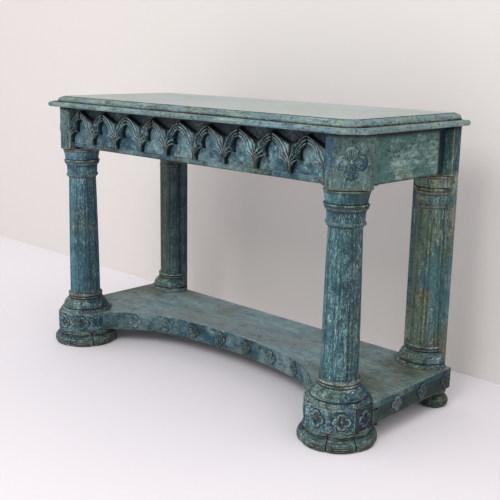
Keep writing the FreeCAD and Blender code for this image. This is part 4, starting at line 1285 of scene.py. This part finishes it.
def build_stage(context):
    """Floor, wall, lamps, sky and camera."""
    scene, paints = context.scene, context.scene.pier_paints
    floor = stage_paint("studio_floor_paint", tuple(paints.floor))
    wall = stage_paint("studio_wall_paint", tuple(paints.wall), True)
    stage_sheet("studio_floor", -STAGE_REACH, STAGE_REACH, 0, floor)
    stage_sheet("studio_wall", WALL_AT, WALL_AT, WALL_HIGH, wall)
    lamp("key_lamp", (1.05, -4.4, 4.0), (0, 0, 0.4), (2.2, 2.0), 102, (0.99, 0.995, 1.0))
    lamp("side_lamp", (3.6, -0.4, 2.4), (0.3, 0, 0.5), (2.6, 2.6), 5, (0.97, 0.985, 1.0))
    scene.world = bpy.data.worlds.new("studio_sky")
    scene.world.use_nodes = True
    sky = scene.world.node_tree.nodes["Background"]
    sky.inputs["Color"].default_value = SKY_COLOUR
    sky.inputs["Strength"].default_value = SKY_STRENGTH
    camera = bpy.data.cameras.new("camera")
    camera.lens, camera.sensor_width = CAMERA_LENS, CAMERA_SENSOR
    scene.camera = linked("camera", camera)
    scene.camera.matrix_world = Matrix.Translation(CAMERA_AT) @ camera_turn()
    scene.view_settings.view_transform = "Standard"


# ---- operators ----------------------------------------------------------------------------
class PIER_OT_top(bpy.types.Operator):
    """Build the top board and its lip."""
    bl_idname = "pier.top"
    bl_label = "Top"
    bl_options = {"REGISTER", "UNDO"}

    def execute(self, context):
        s, c = sizes(context), context.scene.pier_paints
        lip = aged_paint("lip_paint", c.mist, c.sage, (12, 90, 90), bloom=0.6, flecks=0.4, patch=9.0,
                         stain=0.85, olive=0.4, tone=(1.1, 1.11, 1.2))
        flat = aged_paint("top_paint", c.top, c.top_warm, (2.2, 60, 60), bloom=0.35, flecks=0.08, patch=3.0,
                          stain=0.12, olive=0.1, rough=0.42, depth=1.0, tone=(0.92, 0.92, 0.96))
        build_top_board(s, flat, lip)
        build_lip(s, lip)
        return {"FINISHED"}


class PIER_OT_arcade(bpy.types.Operator):
    """Build the cusped arcade, the board behind it and the plain band."""
    bl_idname = "pier.arcade"
    bl_label = "Arcade"
    bl_options = {"REGISTER", "UNDO"}

    def execute(self, context):
        s, c = sizes(context), context.scene.pier_paints
        carved = aged_paint("tracery_paint", c.teal, c.mist, (46, 46, 34), bloom=0.7, flecks=0.7, patch=9.0,
                            stain=0.8, olive=0.35, depth=1.35, tone=(1.16, 1.19, 1.3))
        build_arcade(s, carved)
        niches = aged_paint("frieze_paint", c.blue, c.mist, (40, 40, 26), bloom=0.55, flecks=0.35, patch=9.0,
                            olive=0.5, tone=(0.9, 0.93, 0.98))
        band = aged_paint("band_paint", c.blue, c.mist, (26, 40, 40), bloom=0.4, flecks=0.3, patch=7.0,
                          stain=0.75, olive=0.5, tone=(0.76, 0.81, 0.86))
        build_frieze(s, niches, band)
        return {"FINISHED"}


class PIER_OT_blocks(bpy.types.Operator):
    """Build the corner blocks and their quatrefoils."""
    bl_idname = "pier.blocks"
    bl_label = "Corner blocks"
    bl_options = {"REGISTER", "UNDO"}

    def execute(self, context):
        s, c = sizes(context), context.scene.pier_paints
        block = aged_paint("block_paint", c.blue, blended(c.moss, c.sage, 1 / 3), (60, 60, 22), bloom=0.4,
                           flecks=0.35, patch=7.0, stain=0.8, tone=(0.92, 0.9, 1.02))
        foil = aged_paint("block_foil_paint", c.blue, c.mist, (60, 60, 30), bloom=0.55, flecks=0.5,
                          tone=(0.85, 0.85, 0.85))
        build_blocks(s, block, foil)
        return {"FINISHED"}


class PIER_OT_sides(bpy.types.Operator):
    """Build the side aprons and the rear blocks."""
    bl_idname = "pier.sides"
    bl_label = "Side frieze"
    bl_options = {"REGISTER", "UNDO"}

    def execute(self, context):
        s, c = sizes(context), context.scene.pier_paints
        apron = aged_paint("side_paint", c.moss, blended(c.moss, c.sage, 0.5), (60, 9, 44), bloom=0.45,
                           flecks=0.1, patch=8.0, stain=0.75, olive=0.5, tone=(1.55, 1.5, 1.6))
        rear = aged_paint("rear_block_paint", c.teal, c.moss, (40, 40, 14), bloom=0.35, flecks=0.2,
                          tone=(1.25, 1.33, 1.33))
        build_sides(s, apron, rear)
        return {"FINISHED"}


class PIER_OT_columns(bpy.types.Operator):
    """Build the front columns, the half columns behind and the pilasters."""
    bl_idname = "pier.columns"
    bl_label = "Columns"
    bl_options = {"REGISTER", "UNDO"}

    def execute(self, context):
        s, c = sizes(context), context.scene.pier_paints
        # row, side, two body colours, bloom, olive, shift of the pattern in metres, tone
        columns = (("front", 1, c.teal, c.blue, 0.6, 0.35, 0.0, (1.36, 1.28, 1.18)),
                   ("front", -1, c.teal, c.blue, 0.45, 0.3, 1.3, (2.3, 1.85, 1.85)),
                   ("rear", 1, c.blue, c.moss, 0.45, 0.9, 2.9, (2.25, 1.52, 1.27)),
                   # The left rear column's darker tone is painted shade, for the shade it stands in under the
                   # table.
                   ("rear", -1, c.teal, c.moss, 0.25, 0.6, 4.1, (1.3, 0.97, 0.94)))
        materials = {}
        for row, side, body, second, bloom, olive, shift, tone in columns:
            name = "column_paint_%s_%s" % (row, "right" if side > 0 else "left")
            materials[row, side] = aged_paint(name, body, second, (140, 140, 24), bloom=bloom,
                                              flecks=0.65 * bloom, olive=olive, shift=(shift, 0, shift),
                                              tone=tone)
        for name, side in SIDES:
            materials["base", side] = aged_paint("base_paint_" + name, c.teal, c.moss, (50, 50, 90),
                                                 bloom=0.6, flecks=0.4, olive=0.35, stain=0.85, patch=13.0,
                                                 shift=(0.3 * side, 0, 0), tone=(1.82, 1.4, 1.46))
        build_columns(s, materials)
        return {"FINISHED"}


class PIER_OT_platform(bpy.types.Operator):
    """Build the platform and the quatrefoils on its edges."""
    bl_idname = "pier.platform"
    bl_label = "Platform"
    bl_options = {"REGISTER", "UNDO"}

    def execute(self, context):
        s, c = sizes(context), context.scene.pier_paints
        # dirt gathers round the columns: level, reach
        spots = ((0.04, 0.29), (0.21, 0.2), (-0.17, 0.18))
        x = (s.column_x + 50) * MM
        dirt = [(side * x, y, reach, 0.4) for side in (1, -1) for y, reach in spots]
        board = aged_paint("platform_paint", c.shelf, c.mist, (11, 22, 22), bloom=0.3, flecks=0.08, patch=4.5,
                           stain=0.42, olive=0.45, tone=(1.5, 1.37, 1.44), dirt=dirt)
        front = aged_paint("edge_paint", c.blue, c.mist, (30, 30, 60), bloom=0.45, flecks=0.4, stain=0.75,
                           tone=(0.8, 0.8, 0.82))
        # The side rails take a darker paint than the front: painted shade on the sides turned from the light.
        side = aged_paint("side_edge_paint", c.teal, c.moss, (30, 30, 60), bloom=0.35, flecks=0.3,
                          tone=(0.48, 0.49, 0.43))
        build_platform(s, board, front, side)
        foil = aged_paint("edge_foil_paint", c.teal, c.mist, (60, 60, 60), bloom=0.5, flecks=0.5,
                          tone=(0.85, 0.85, 0.88))
        build_edge_foils(s, foil)
        return {"FINISHED"}


class PIER_OT_plinths(bpy.types.Operator):
    """Build the plinths with their ribs and quatrefoils."""
    bl_idname = "pier.plinths"
    bl_label = "Plinths"
    bl_options = {"REGISTER", "UNDO"}

    def execute(self, context):
        s, c = sizes(context), context.scene.pier_paints
        plinth = aged_paint("plinth_paint", c.blue, c.teal, (60, 60, 60), bloom=0.6, flecks=0.5, patch=16.0,
                            stain=0.8, olive=0.3, tone=(1.46, 1.38, 1.44))
        build_plinths(s, plinth)
        return {"FINISHED"}


class PIER_OT_feet(bpy.types.Operator):
    """Build the lobed feet."""
    bl_idname = "pier.feet"
    bl_label = "Feet"
    bl_options = {"REGISTER", "UNDO"}

    def execute(self, context):
        s, c = sizes(context), context.scene.pier_paints
        front = aged_paint("foot_paint", c.teal, c.moss, (50, 50, 80), bloom=0.5, flecks=0.5, patch=9.0,
                           stain=0.75, tone=(1.05, 1.03, 1.14))
        back = aged_paint("back_foot_paint", c.teal, c.olive, (50, 50, 80), bloom=0.3, flecks=0.3, patch=9.0,
                          tone=(0.46, 0.57, 0.65))
        build_feet(s, front, back)
        return {"FINISHED"}


class PIER_OT_inner(bpy.types.Operator):
    """Finish the CAD pieces that stay: rails, bearers and glue blocks."""
    bl_idname = "pier.inner"
    bl_label = "Inner woodwork"
    bl_options = {"REGISTER", "UNDO"}

    def execute(self, context):
        c = context.scene.pier_paints
        wood = plain_timber("inner_wood", (4, 60, 60))
        painted = aged_paint("rail_paint", c.teal, c.moss, (8, 30, 30), bloom=0.15, flecks=0.1,
                             tone=(0.26, 0.31, 0.48))
        for name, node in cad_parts.items():
            if not node.hide_render:
                node.data.materials.clear()
                node.data.materials.append(painted if name.startswith(("side_rail", "back_rail")) else wood)
        return {"FINISHED"}


class PIER_OT_stage(bpy.types.Operator):
    """Set up the floor, wall, lamps and camera."""
    bl_idname = "pier.stage"
    bl_label = "Stage"
    bl_options = {"REGISTER", "UNDO"}

    def execute(self, context):
        build_stage(context)
        return {"FINISHED"}


class PIER_PT_panel(bpy.types.Panel):
    """Sidebar panel that lists the steps, sizes and colours."""
    bl_label = "Pier Table"
    bl_idname = "PIER_PT_panel"
    bl_space_type = "VIEW_3D"
    bl_region_type = "UI"
    bl_category = "Pier Table"

    def draw(self, context):
        for step in STEPS:
            self.layout.operator(step.bl_idname)
        for group in (context.scene.pier_sizes, context.scene.pier_paints):
            box = self.layout.box()
            for name in type(group).__annotations__:
                box.prop(group, name)


STEPS = (PIER_OT_top, PIER_OT_arcade, PIER_OT_blocks, PIER_OT_sides, PIER_OT_columns, PIER_OT_platform,
         PIER_OT_plinths, PIER_OT_feet, PIER_OT_inner, PIER_OT_stage)
CLASSES = (PierTableSizes, PierTablePaints) + STEPS + (PIER_PT_panel,)


def register():
    """Register the classes and hang the sizes and colours on the scene."""
    for item in CLASSES:
        bpy.utils.register_class(item)
    bpy.types.Scene.pier_sizes = PointerProperty(type=PierTableSizes)
    bpy.types.Scene.pier_paints = PointerProperty(type=PierTablePaints)


def unregister():
    """Take all of that away again."""
    del bpy.types.Scene.pier_paints
    del bpy.types.Scene.pier_sizes
    for item in reversed(CLASSES):
        bpy.utils.unregister_class(item)


def main():
    """Register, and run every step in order."""
    register()
    bpy.ops.pier.top()
    bpy.ops.pier.arcade()
    bpy.ops.pier.blocks()
    bpy.ops.pier.sides()
    bpy.ops.pier.columns()
    bpy.ops.pier.platform()
    bpy.ops.pier.plinths()
    bpy.ops.pier.feet()
    bpy.ops.pier.inner()
    bpy.ops.pier.stage()


if __name__ == "__main__":
    main()
